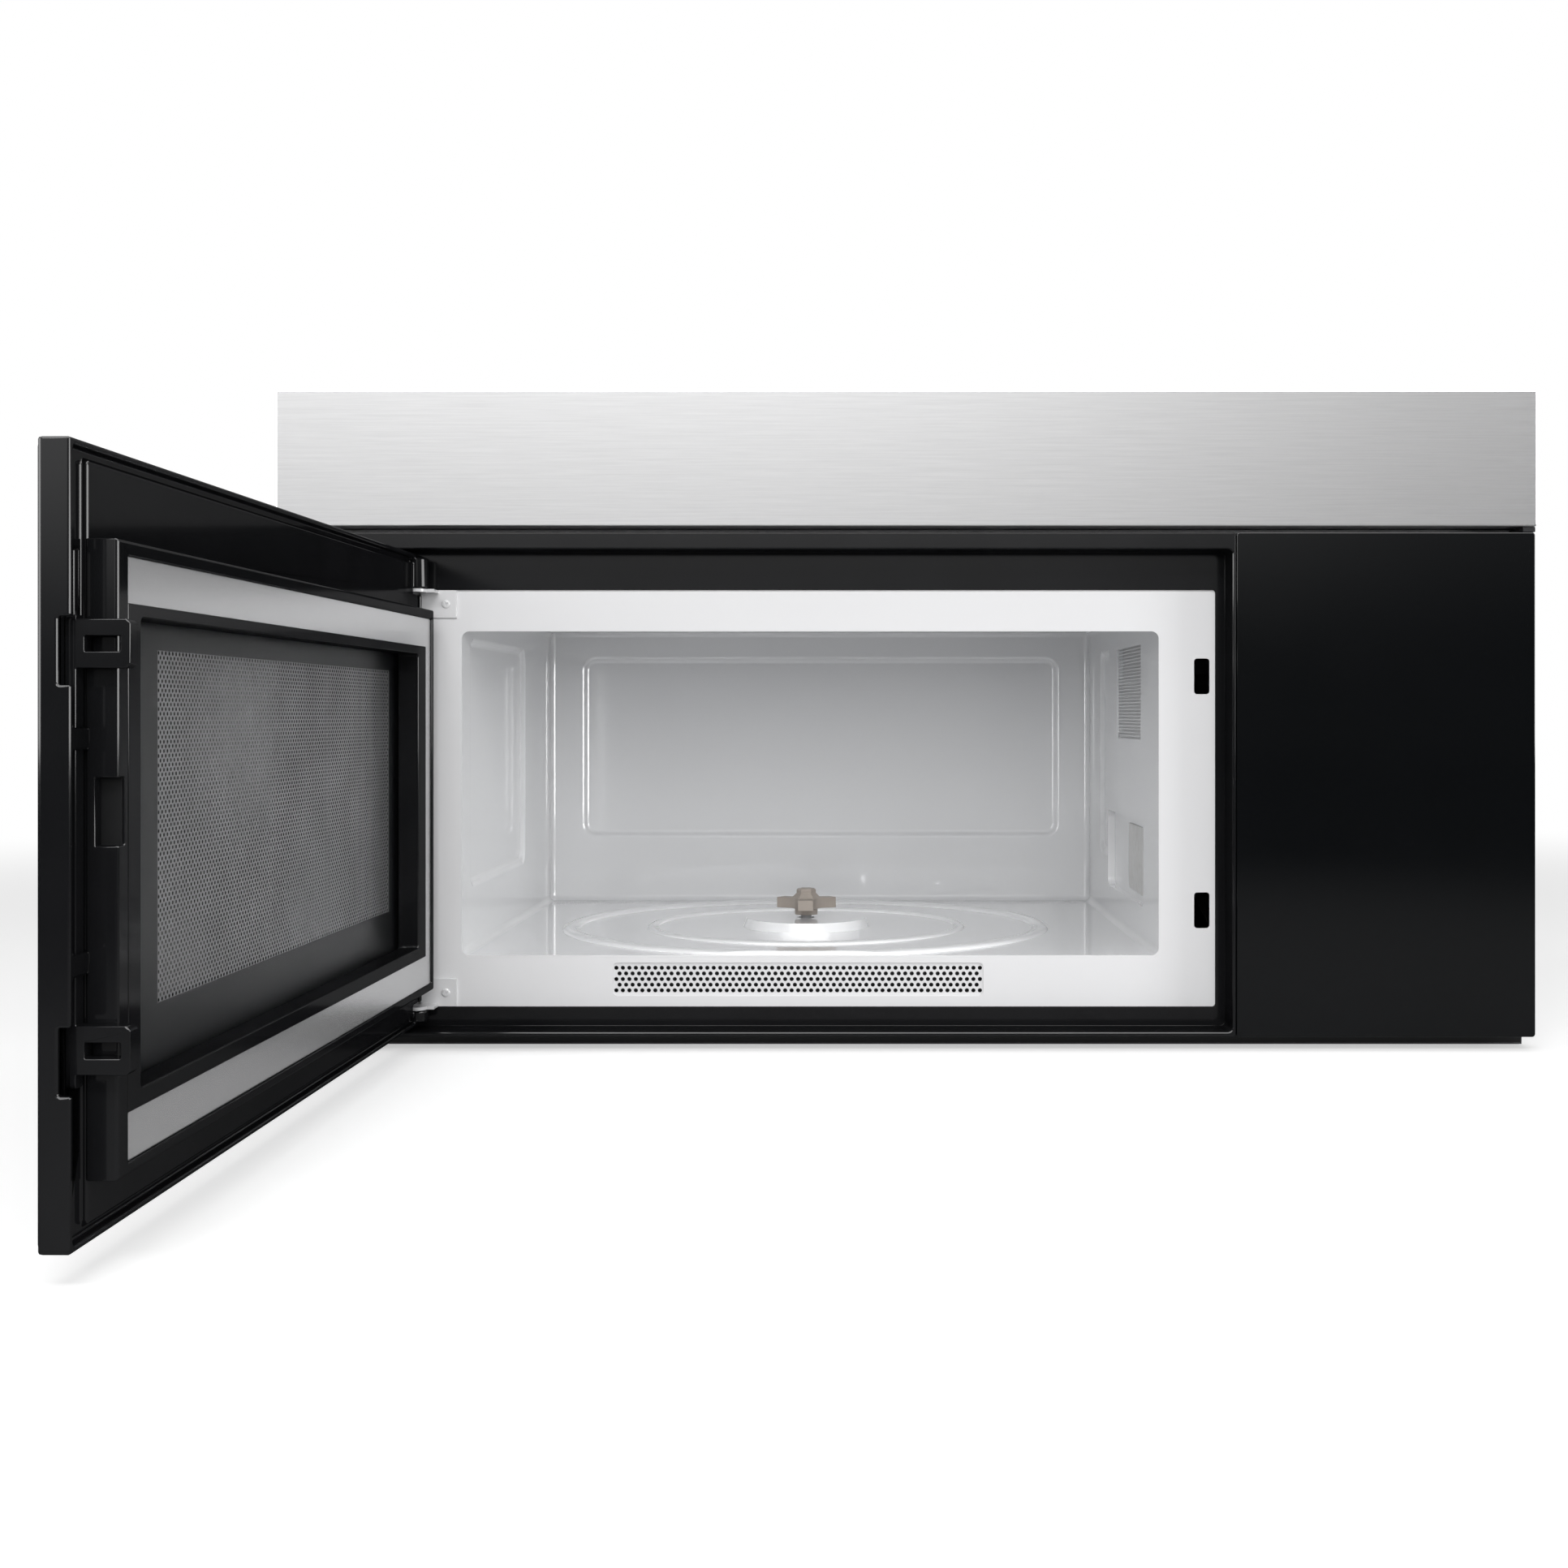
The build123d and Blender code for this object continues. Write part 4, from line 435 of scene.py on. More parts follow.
def pan_paint():
    """Even dark paint of the screen's pan."""
    finish = Finish("pan_paint", (0.009, 0.0092, 0.0096), 0.36, Specular_IOR_Level=0.25)
    grain = finish.noise(1500.0, 1.0)
    finish.tint(grain, (0.011, 0.0112, 0.0116), 0.0, 1.0)
    finish.rough(grain, 0.34, 0.38)
    return finish.material


def control_glass():
    """Plain back-painted glass."""
    finish = Finish("control_glass", (0.0034, 0.0038, 0.0042), 0.07, Specular_IOR_Level=0.42)
    finish.rough(finish.noise(14.0), 0.05, 0.10)
    finish.tint(finish.noise(5.0), (0.004, 0.0044, 0.005))
    finish.bump(finish.noise(4.0), 0.01 * MM)
    return finish.material


def enamel(name, colour, gloss):
    """Baked enamel: an even glaze with a fine grain under it."""
    finish = Finish(name, colour, gloss, Coat_Weight=0.9, Coat_Roughness=0.05, Coat_IOR=1.65)
    grain = finish.noise(1600.0, 1.0)
    finish.tint(grain, tuple(channel - ENAMEL_TINT for channel in colour), 0.0, 1.0)
    finish.rough(grain, gloss - ENAMEL_GRAIN, gloss + ENAMEL_GRAIN, 0.0, 1.0)
    return finish.material


def plate_enamel_and_painted_shade():
    """White enamel of the front plate, painted black below the front frame's edge as painted shade."""
    finish = Finish("plate_enamel_and_painted_shade", SOFT_BLACK, 0.34, Coat_Weight=0.35, Coat_Roughness=0.08)
    # painted shade: black below the front frame's lower edge, where the frame shades the plate
    finish.tint(finish.axes(finish.place)["Z"], WHITE, PLATE_PAINTED_SHADE_HEIGHT, PLATE_PAINTED_SHADE_HEIGHT + PLATE_PAINTED_SHADE_BLEND)
    finish.rough(finish.noise(14.0), 0.30, 0.38)
    finish.bump(finish.noise(45.0, 1.0), 0.02 * MM)
    return finish.material


def powder_coat():
    """Dark grey textured powder coat."""
    finish = Finish("powder_coat", (0.055, 0.056, 0.058), 0.48)
    finish.tint(finish.noise(700.0, 2.0), (0.066, 0.067, 0.069))
    finish.rough(finish.noise(700.0, 2.0), 0.46, 0.52)
    finish.bump(finish.noise(900.0, 2.0), 0.01 * MM)
    return finish.material


def zinc():
    """Galvanised sheet with its spangle."""
    finish = Finish("zinc", (0.53, 0.54, 0.55), 0.42, 0.75)
    colour = finish.cells(150.0)[1]
    finish.tint(colour, (0.575, 0.585, 0.595), 0.1, 0.9)
    finish.rough(colour, 0.42, 0.47)
    finish.bump(finish.noise(60.0), 0.01 * MM)
    return finish.material


def silver_strip():
    """Satin steel of the door's panel, rolled along the door."""
    finish = Finish("silver_strip", (0.60, 0.60, 0.605), 0.26, 0.72)
    lines = finish.noise((2600.0, 5.0, 2600.0), 1.0)
    finish.rough(lines, 0.255, 0.27)
    finish.tint(lines, (0.592, 0.592, 0.597), 0.0, 1.0)
    return finish.material


def plain_plastic(name, colour, gloss, grain=1100.0):
    """Moulded plastic with a fine grain."""
    finish = Finish(name, colour, gloss)
    finish.tint(finish.noise(40.0, 4.0), tuple(channel * 0.86 for channel in colour))
    finish.rough(finish.noise(160.0), gloss - 0.06, gloss + 0.08)
    finish.bump(finish.noise(grain, 2.0), 0.008 * MM)
    return finish.material


def metal(name, colour, gloss, streak=(40.0, 700.0, 700.0), metallic=1.0):
    """Rolled metal with faint drawing lines."""
    finish = Finish(name, colour, gloss, metallic)
    lines = finish.noise(streak, 3.0)
    finish.tint(lines, tuple(channel * 0.88 for channel in colour))
    finish.rough(lines, gloss - 0.06, gloss + 0.08)
    finish.bump(lines, 0.004 * MM)
    return finish.material


def laminated_core():
    """Stack of varnished steel laminations, edge on."""
    finish = Finish("laminated_core", (0.09, 0.088, 0.085), 0.45, 0.6)
    stack = finish.waves(300.0, "Y")
    finish.tint(stack, (0.17, 0.165, 0.16), 0.2, 0.8)
    finish.rough(finish.noise(90.0), 0.38, 0.55)
    finish.bump(stack, 0.05 * MM)
    return finish.material


def copper_winding():
    """Enamelled copper wire, turn beside turn."""
    finish = Finish("copper_winding", (0.55, 0.25, 0.10), 0.3, 0.85)
    turns = finish.waves(140.0, "Z")
    finish.tint(turns, (0.30, 0.12, 0.05))
    finish.rough(finish.noise(200.0), 0.24, 0.38)
    finish.bump(turns, 0.15 * MM)
    return finish.material


def circuit_board():
    """Green solder resist over copper tracks."""
    finish = Finish("circuit_board", (0.02, 0.12, 0.05), 0.35)
    tracks = finish.node("ShaderNodeTexBrick")
    tracks.inputs["Scale"].default_value = 120.0
    tracks.inputs["Mortar Size"].default_value = 0.08
    finish.link(finish.place, tracks.inputs["Vector"])
    finish.tint(tracks.outputs["Fac"], (0.05, 0.22, 0.08), 0.0, 1.0)
    finish.rough(finish.noise(100.0), 0.28, 0.42)
    finish.bump(tracks.outputs["Fac"], 0.03 * MM)
    return finish.material


def mica():
    """Pressed mica sheet: mottled flakes with a dull sheen."""
    finish = Finish("mica", (0.70, 0.70, 0.69), 0.42)
    flakes = finish.cells(160.0)[1]
    finish.tint(flakes, (0.64, 0.635, 0.62), 0.1, 0.9)
    finish.rough(finish.noise(300.0), 0.34, 0.55)
    finish.bump(finish.noise(300.0), 0.01 * MM)
    return finish.material


def tinted_glass(low, high):
    """Door glass: dark and clear enough to see through in the window, back-painted black round it."""
    finish = Finish("tinted_glass", (0.004, 0.004, 0.0045), 0.05, Specular_IOR_Level=0.3)
    axes = finish.axes(finish.place)
    inside = 1.0
    for axis, start, end in (("Y", low.y, high.y), ("Z", low.z, high.z)):
        for sign, edge in ((1, start), (-1, end)):
            distance = finish.math("MULTIPLY_ADD", axes[axis], sign / MM, -sign * edge / MM)
            distance.node.use_clamp = True
            inside = finish.math("MULTIPLY", inside, distance)
    finish.link(finish.spread(inside, 1.0, GLASS_TINT, 0.0, 1.0), finish.shader.inputs["Alpha"])
    finish.rough(finish.noise(14.0), 0.04, 0.08)
    return finish.material


def clear_glass(name, colour, alpha):
    """Thin clear glass."""
    finish = Finish(name, colour, 0.04, Specular_IOR_Level=0.0, Coat_Roughness=0.03)
    finish.polish(0.8, 0.08)
    finish.shader.inputs["Alpha"].default_value = alpha
    finish.rough(finish.noise(20.0), 0.03, 0.07)
    return finish.material


def lamp_lens():
    """Frosted glass with small prisms."""
    finish = Finish("lamp_lens", (0.78, 0.79, 0.80), 0.3, IOR=1.5)
    finish.shader.inputs["Alpha"].default_value = 0.55
    finish.rough(finish.noise(60.0), 0.24, 0.38)
    finish.bump(finish.cells(260.0)[0], 0.4 * MM)
    return finish.material


STEEL = brushed_steel()
GLOSS_BLACK = gloss_black("gloss_black", 0.12)
DOOR_BLACK = gloss_black("door_black", 0.09)
SATIN_BLACK = satin_black()
PAN_PAINT = pan_paint()
CONTROL_GLASS = control_glass()
ENAMEL_WHITE = enamel("enamel_white", WHITE, 0.34)
PLATE_ENAMEL_AND_PAINTED_SHADE = plate_enamel_and_painted_shade()
ENAMEL_CAVITY = enamel("enamel_cavity", (0.83, 0.835, 0.845), 0.26)
POWDER_COAT = powder_coat()
ZINC = zinc()
SILVER = silver_strip()
TAUPE = plain_plastic("taupe_plastic", (0.34, 0.30, 0.265), 0.45)
GREY_PLASTIC = plain_plastic("grey_plastic", (0.42, 0.42, 0.43), 0.45)
ALUMINIUM = metal("aluminium", (0.74, 0.74, 0.75), 0.34)
CORE = laminated_core()
COPPER = copper_winding()
BOARD = circuit_board()
MICA = mica()
FILTER_MESH = metal("filter_mesh", (0.62, 0.62, 0.63), 0.40, (300.0, 300.0, 300.0))
RUBBER = plain_plastic("rubber", (0.02, 0.02, 0.02), 0.62, 900.0)
CLEAR_GLASS = clear_glass("clear_glass", (0.02, 0.022, 0.022), 0.05)
BULB_GLASS = clear_glass("bulb_glass", (0.75, 0.76, 0.78), 0.45)
LAMP_LENS = lamp_lens()
SCREEN_STEEL = metal("screen_steel", (0.235, 0.235, 0.24), 0.36, (30.0, 30.0, 30.0), 0.3)

SCREEN_MARGIN_HINGE = 12 * MM  # from the pane's edges to the perforated field
SCREEN_MARGIN_FREE = 61 * MM
SCREEN_MARGIN_TOP = 14 * MM
SCREEN_MARGIN_BOTTOM = 26.5 * MM
pane_low, pane_high = shut_box("door_inner_pane")
screen_left = pane_low.x + SCREEN_MARGIN_HINGE
screen_right = pane_high.x - SCREEN_MARGIN_FREE
screen_bottom = pane_low.z + SCREEN_MARGIN_BOTTOM
screen_top = pane_high.z - SCREEN_MARGIN_TOP
window_near = OPENED @ Vector((screen_right, pane_low.y, screen_bottom))
window_far = OPENED @ Vector((screen_left, pane_low.y, screen_top))
TINTED_GLASS = tinted_glass(window_near, window_far)

# ---- carried-over CAD nodes ----------------------------------------------------------------------
FINISHES = {  # material, and the width of the rounded edges in millimetres
    "top_fascia": (STEEL, 0.35),
    "fascia_carrier": (SATIN_BLACK, 0.3),
    "front_frame": (GLOSS_BLACK, 0.9),
    "control_housing": (GLOSS_BLACK, 0.5),
    "control_glass": (CONTROL_GLASS, 0.25),
    "control_board": (BOARD, 0.1),
    "board_components": (SATIN_BLACK, 0.6),
    "front_plate": (PLATE_ENAMEL_AND_PAINTED_SHADE, 0.7),
    "waveguide_cover": (MICA, 0.2),
    "waveguide": (ZINC, 0.4),
    "turntable_motor": (ZINC, 0.4),
    "turntable_shaft": (GREY_PLASTIC, 0.3),
    "turntable_coupler": (TAUPE, 0.9),
    "outer_case": (POWDER_COAT, 0.35),
    "rear_plate": (ZINC, 0.3),
    "base_plate": (POWDER_COAT, 0.3),
    "grease_filter_left": (ALUMINIUM, 0.6),
    "grease_filter_right": (ALUMINIUM, 0.6),
    "cooktop_lamp_lens": (LAMP_LENS, 0.6),
    "cooktop_lamp_housing": (ZINC, 0.4),
    "cooktop_lamp_bulbs": (BULB_GLASS, 1.5),
    "cord_grommet": (RUBBER, 0.5),
    "hinge_pins": (ZINC, 0.15),
    "hinge_bracket_upper": (ENAMEL_WHITE, 0.3),
    "hinge_bracket_lower": (ENAMEL_WHITE, 0.3),
    "door_outer_frame": (DOOR_BLACK, 0.9),
    "door_outer_glass": (TINTED_GLASS, 0.3),
    "door_inner_pane": (CLEAR_GLASS, 0.2),
    "door_choke_cover": (DOOR_BLACK, 1.3),
    "door_window_bezel": (DOOR_BLACK, 0.6),
    "latch_lever": (DOOR_BLACK, 0.4),
    "latch_bracket": (GREY_PLASTIC, 0.4),
    "interlock_switches": (SATIN_BLACK, 0.5),
    "magnetron": (ZINC, 0.3),
    "transformer_core": (CORE, 0.4),
    "transformer_windings": (COPPER, 1.0),
    "hv_capacitor": (ALUMINIUM, 1.0),
    "component_shelf": (ZINC, 0.3),
    "fan_shroud": (GREY_PLASTIC, 0.4),
    "fan_motor": (CORE, 1.0),
    "fan_impeller": (SATIN_BLACK, 0.4),
    "blower_scroll_left": (ZINC, 0.4),
    "blower_scroll_right": (ZINC, 0.4),
    "blower_motor": (ZINC, 0.5),
    "blower_shaft": (ALUMINIUM, 0.3),
    "blower_wheel_left": (SATIN_BLACK, 0.15),
    "blower_wheel_right": (SATIN_BLACK, 0.15),
    "exhaust_collar": (ZINC, 0.3),
    "damper_flap": (ALUMINIUM, 0.3),
    "cavity_lamp_holder": (ZINC, 0.3),
    "cavity_lamp": (BULB_GLASS, 1.5),
}
# nodes with a very short edge somewhere, which would clamp all their edges to next to nothing
WIDE_EDGES = ("door_outer_frame", "door_window_bezel", "latch_lever", "top_fascia")
for node_name, (finish, edge) in FINISHES.items():
    node = NODES[node_name]
    node.data.materials.clear()
    node.data.materials.append(finish)
    soften(node, edge * MM, clamped=node_name not in WIDE_EDGES)


# ---- cavity --------------------------------------------------------------------------------------
LAMP_VENT_LOW = (-301 * MM, 186 * MM)  # of the lamp vent in the right wall: depth and height
LAMP_VENT_HIGH = (-192 * MM, 249 * MM)
LAMP_VENT_SUNK = 0.8 * MM
LAMP_VENT_SHEET = 0.06 * MM
LAMP_VENT_PITCH = 2.5 * MM
LAMP_VENT_ROW = 2.25 * MM
LAMP_VENT_RADIUS = 1 * MM
LAMP_VENT_PAINTED_SHADE_START = 1.3 * MM  # of the black sheet behind the lamp vent, a painted shade that darkens its holes, from the wall
LAMP_VENT_PAINTED_SHADE_END = 1.6 * MM
LAMP_VENT_PAINTED_SHADE_MARGIN = 2 * MM
GUIDE_DEPTH = 5 * MM  # of the waveguide's pocket in the right wall
LINER_EDGE = 1.3 * MM  # the liner's rounded edges, their segments and least angle
LINER_SEGMENTS = 4
LINER_ANGLE = 24.0
BEND = 1.5 * MM  # width of a rounded bend at a pressed panel's sloping side, and the angles that it has
BEND_LEAST = radians(30)
BEND_MOST = radians(60)
BEND_SEGMENTS = 4
BEADS = ((163.0, 12.0, 2.6), (107.0, 8.0, 1.8))  # radius, width, height of the floor's rings, in millimetres
BEAD_BURIED = 0.2 * MM
LINER_SHEET = 1 * MM


def bead(centre, radius, width, height, around=160, across=8):
    """A rounded ring that stands up from a flat floor."""
    section = []
    for step in range(across + 1):
        angle = pi * step / across
        section.append((radius - cos(angle) * width / 2, sin(angle) * height))
    section.append((radius + width / 2, -BEAD_BURIED))
    section.append((radius - width / 2, -BEAD_BURIED))
    size = len(section)
    vertices, faces = [], []
    for turn in range(around):
        angle = tau * turn / around
        for reach, rise in section:
            vertices.append((centre.x + reach * cos(angle), centre.y + reach * sin(angle), centre.z + rise))
        after = (turn + 1) % around
        for step in range(size):
            beside = (step + 1) % size
            here, there = turn * size, after * size
            faces.append((here + step, here + beside, there + beside, there + step))
    return mesh_from(vertices, faces)


def ease_bends(mesh):
    """Rounds the bends at the sloping sides of the pressed panels."""
    shape = bmesh.new()
    shape.from_mesh(mesh)
    bmesh.ops.dissolve_limit(shape, angle_limit=FLAT, verts=shape.verts, edges=shape.edges)
    bends = []
    for edge in shape.edges:
        if len(edge.link_faces) == 2 and BEND_LEAST < abs(edge.calc_face_angle(0)) < BEND_MOST:
            bends.append(edge)
    bmesh.ops.bevel(
        shape,
        geom=bends,
        offset=BEND,
        offset_type="OFFSET",
        segments=BEND_SEGMENTS,
        profile=0.5,
        affect="EDGES",
        clamp_overlap=False,
    )
    shape.to_mesh(mesh)
    shape.free()


def build_liner(wall):
    """The pressed liner, with its edges rounded as a press leaves them and the lamp vent's opening cut."""
    low, high = LAMP_VENT_LOW, LAMP_VENT_HIGH
    opening = block((wall - 3 * MM, low[0], low[1]), (wall + 6 * MM, high[0], high[1]))
    shell = cut(welded_copy("cavity_shell"), opening)
    ease_bends(shell)
    liner = new_piece("cavity_liner", shell, "cabinet", ENAMEL_CAVITY)
    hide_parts("cavity_shell")
    soften(liner, LINER_EDGE, LINER_SEGMENTS, LINER_ANGLE)


def build_lamp_vent(wall):
    """The perforated sheet in the liner's opening, and a black sheet behind it: painted shade in its holes.
    """
    low, high = LAMP_VENT_LOW, LAMP_VENT_HIGH
    sheet = perforated(low, high, 0.0, LAMP_VENT_SHEET, LAMP_VENT_PITCH, LAMP_VENT_ROW, LAMP_VENT_RADIUS)
    # turned from the front plane to the wall
    sheet.transform(Matrix(((0, 1, 0, wall + LAMP_VENT_SUNK), (1, 0, 0, 0), (0, 0, 1, 0), (0, 0, 0, 1))))
    sheet.flip_normals()
    new_piece("cavity_lamp_vent", sheet, "cabinet", ENAMEL_CAVITY)
    # painted shade: a black sheet behind the vent, so that its holes look dark
    lamp_vent_painted_shade = block(
        (wall + LAMP_VENT_PAINTED_SHADE_START, low[0] - LAMP_VENT_PAINTED_SHADE_MARGIN, low[1] - LAMP_VENT_PAINTED_SHADE_MARGIN),
        (wall + LAMP_VENT_PAINTED_SHADE_END, high[0] + LAMP_VENT_PAINTED_SHADE_MARGIN, high[1] + LAMP_VENT_PAINTED_SHADE_MARGIN),
    )
    soften(new_piece("cavity_lamp_vent_painted_shade", lamp_vent_painted_shade, "cabinet", SATIN_BLACK), 0.1 * MM)


def build_floor_beads():
    """The rings that guide the turntable. The outer one runs out at the cavity's front edge."""
    axis = Vector(JOINTS["turntable_spin"]["pos_m"])
    axis.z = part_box("cavity_shell")[0].z + LINER_SHEET
    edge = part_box("front_plate")[1].y + 1 * MM
    across = 200 * MM
    low = (axis.x - across, edge - 20 * MM, axis.z - 5 * MM)
    high = (axis.x + across, edge, axis.z + 5 * MM)
    for number, (radius, width, height) in enumerate(BEADS):
        ring = cut(bead(axis, radius * MM, width * MM, height * MM), block(low, high))
        smooth(new_piece(f"floor_bead_{number}", ring, "cabinet", ENAMEL_CAVITY))


def build_cavity():
    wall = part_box("waveguide_cover")[1].x - GUIDE_DEPTH
    build_liner(wall)
    build_lamp_vent(wall)
    build_floor_beads()


build_cavity()

# ---- front vent ----------------------------------------------------------------------------------
VENT_PITCH = 4.0 * MM
VENT_ROW = 3.464 * MM
VENT_RADIUS = 1.3 * MM
VENT_COLUMNS = 57
VENT_ROWS = 5
FRONT_VENT_PAINTED_SHADE_DEPTH = 7 * MM
FRONT_VENT_PAINTED_SHADE_WALL = 1 * MM


def build_front_vent():
    """The pierced strip under the cavity: five staggered rows of round holes."""
    low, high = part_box("front_vent_grille")
    margin = (high.x - low.x - VENT_COLUMNS * VENT_PITCH) / 2
    middle = (low.z + high.z) / 2
    field_low = (low.x + margin, middle - VENT_ROWS / 2 * VENT_ROW)
    field_high = (high.x - margin, middle + VENT_ROWS / 2 * VENT_ROW)
    strip = perforated(field_low, field_high, low.y, high.y, VENT_PITCH, VENT_ROW, VENT_RADIUS, (4, 4))
    vent = new_piece("front_vent_strip", strip, "cabinet", ENAMEL_WHITE)
    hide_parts("front_vent_grille")
    field = block((field_low[0], low.y - MM, field_low[1]), (field_high[0], high.y + MM, field_high[1]))
    border = cut(block(low, high), field)
    soften(new_piece("front_vent_border", border, "cabinet", ENAMEL_WHITE), 0.2 * MM)
    # a black tray behind it, open at the front: painted shade that keeps its holes dark
    back = high.y + FRONT_VENT_PAINTED_SHADE_DEPTH
    outer, inner = FRONT_VENT_PAINTED_SHADE_WALL, 2 * FRONT_VENT_PAINTED_SHADE_WALL
    tray = block(
        (low.x + outer, high.y + 0.3 * MM, low.z + outer),
        (high.x - outer, back, high.z - outer),
    )
    hollow = block(
        (low.x + inner, high.y - MM, low.z + inner),
        (high.x - inner, back - FRONT_VENT_PAINTED_SHADE_WALL, high.z - inner),
    )
    painted_shade_tray = new_piece("front_vent_painted_shade", cut(tray, hollow), "cabinet", SATIN_BLACK)
    soften(painted_shade_tray, 0.2 * MM)


build_front_vent()

# ---- air outlet ----------------------------------------------------------------------------------
OUTLET_END_OUTER = 0.6 * MM  # of each block that closes an end, from the band's end
OUTLET_END_INNER = 8 * MM


def build_outlet_ends():
    """Black blocks that close the ends of the air outlet under the steel band."""
    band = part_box("top_fascia")[0]
    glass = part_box("control_glass")[1]
    front = FRONT + 1 * MM
    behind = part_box("outer_case")[0].y - 0.5 * MM
    inner, outer = abs(band.x) - OUTLET_END_INNER, abs(band.x) - OUTLET_END_OUTER
    ends = []
    for start, end in ((-outer, -inner), (inner, outer)):
        ends.append(block((start, front, glass.z + 0.2 * MM), (end, behind, band.z - 0.1 * MM)))
    mesh = joined(ends, "outlet_ends")
    soften(new_piece("outlet_ends", mesh, "cabinet", SATIN_BLACK), 0.3 * MM)


build_outlet_ends()

# ---- door screen ---------------------------------------------------------------------------------
SCREEN_PITCH = 3.74 * MM
SCREEN_ROW = 1.87 * MM
SCREEN_RADIUS = 0.95 * MM
SCREEN_SHEET = 0.12 * MM
FLANGE_START = 19 * MM  # depth behind the door's outer face where the panel's silver flange starts
FLANGE_END = 2 * MM  # from the panel's free end


def build_screen():
    """The door's steel panel, painted but for its flange, with its perforated field as two thin sheets."""
    low, high = shut_box("door_screen_panel")
    field = block((screen_left, low.y - MM, screen_bottom), (screen_right, low.y + 2 * MM, screen_top))
    field.transform(OPENED)
    panel = cut(welded_copy("door_screen_panel"), field)
    for vertex in panel.vertices:  # the window's side that touches the inner pane is drawn back from it
        place = SHUT @ vertex.co
        if abs(place.y - pane_low.y) < 0.05 * MM:
            place.y = low.y + 0.5 * MM
            vertex.co = OPENED @ place
    pan = new_piece("door_screen_pan", panel, "door", PAN_PAINT)
    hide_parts("door_screen_panel")
    pan.data.materials.append(SILVER)
    for face in panel.polygons:
        middle = SHUT @ face.center
        on_flange = middle.y - FRONT > FLANGE_START and middle.x < high.x - FLANGE_END
        face.material_index = 1 if on_flange else 0
    soften(pan, 0.6 * MM)
    # the seam is near the middle, above an even number of rows, and each sheet stays under the limit on faces
    rows = round((screen_top - screen_bottom) / SCREEN_ROW)
    seam = screen_bottom + (screen_top - screen_bottom) * (rows // 4 * 2) / rows
    for name, start, end in (("door_mesh_lower", screen_bottom, seam), ("door_mesh_upper", seam, screen_top)):
        mesh = perforated(
            (screen_left, start),
            (screen_right, end),
            low.y,
            low.y + SCREEN_SHEET,
            SCREEN_PITCH,
            SCREEN_ROW,
            SCREEN_RADIUS,
        )
        mesh.transform(OPENED)
        new_piece(name, mesh, "door", SCREEN_STEEL)


build_screen()


# ---- fasteners -----------------------------------------------------------------------------------
HINGE_SCREW = (2.6 * MM, 1.3 * MM)  # radius and height of the heads
CASE_SCREW = (3.6 * MM, 1.8 * MM)
COLLAR_SCREW = (3.2 * MM, 1.6 * MM)
LAMP_SCREW = (2.6 * MM, 0.9 * MM)
HEAD_RIM = 0.35  # share of a head's height that its straight rim takes
HEAD_FLAT = 0.25  # share of a head's radius that is flat on top
RECESS_WIDTH = 0.16  # half the width and half the length of the cross's arms, as shares of the radius
RECESS_LENGTH = 0.62
RECESS_FLOOR = 0.4  # as a share of the height


def pan_head(radius, height, segments=28, rings=5):
    """A screw head with a cross recess. Its seat is at the origin, and it points along +Z."""

    def circle(reach, rise):
        angles = [tau * step / segments for step in range(segments)]
        return [(reach * cos(angle), reach * sin(angle), rise) for angle in angles]

    vertices = [(0.0, 0.0, 0.0)]
    for ring in range(rings + 1):
        angle = pi / 2 * ring / rings
        reach = radius * (HEAD_FLAT + (1 - HEAD_FLAT) * cos(angle))
        vertices += circle(reach, height * (HEAD_RIM + (1 - HEAD_RIM) * sin(angle)))
    vertices += circle(radius, 0.0)
    base = 1 + (rings + 1) * segments
    faces = []
    for step in range(segments):
        after = (step + 1) % segments
        faces.append((0, base + after, base + step))
        faces.append((base + step, base + after, 1 + after, 1 + step))
        for ring in range(rings):
            lower = 1 + ring * segments
            upper = lower + segments
            faces.append((lower + step, lower + after, upper + after, upper + step))
    faces.append(tuple(1 + rings * segments + step for step in range(segments)))
    slot = radius * RECESS_WIDTH
    arm = radius * RECESS_LENGTH
    floor = height * RECESS_FLOOR
    above = height * 1.5
    return cut(
        mesh_from(vertices, faces),
        block((-slot, -arm, floor), (slot, arm, above)),
        block((-arm, -slot, floor), (arm, slot, above)),
    )


def add_screws(name, places, direction, size, material):
    """One piece of the cabinet with a screw head at each place, turned a little differently each time."""
    head = pan_head(*size)
    turn = Vector(direction).to_track_quat("Z", "Y").to_matrix().to_4x4()
    heads = []
    for number, place in enumerate(places):
        twist = Matrix.Rotation(0.7 * number + 0.3, 4, "Z")
        copy = head.copy()
        copy.transform(Matrix.Translation(place) @ turn @ twist)
        heads.append(copy)
    smooth(new_piece(name, joined(heads, name), "cabinet", material), 35.0)


def inset(low, high, start, end=None):
    """Two places between two bounds, at start from the first and at end from the second."""
    return low + start, high - (start if end is None else end)


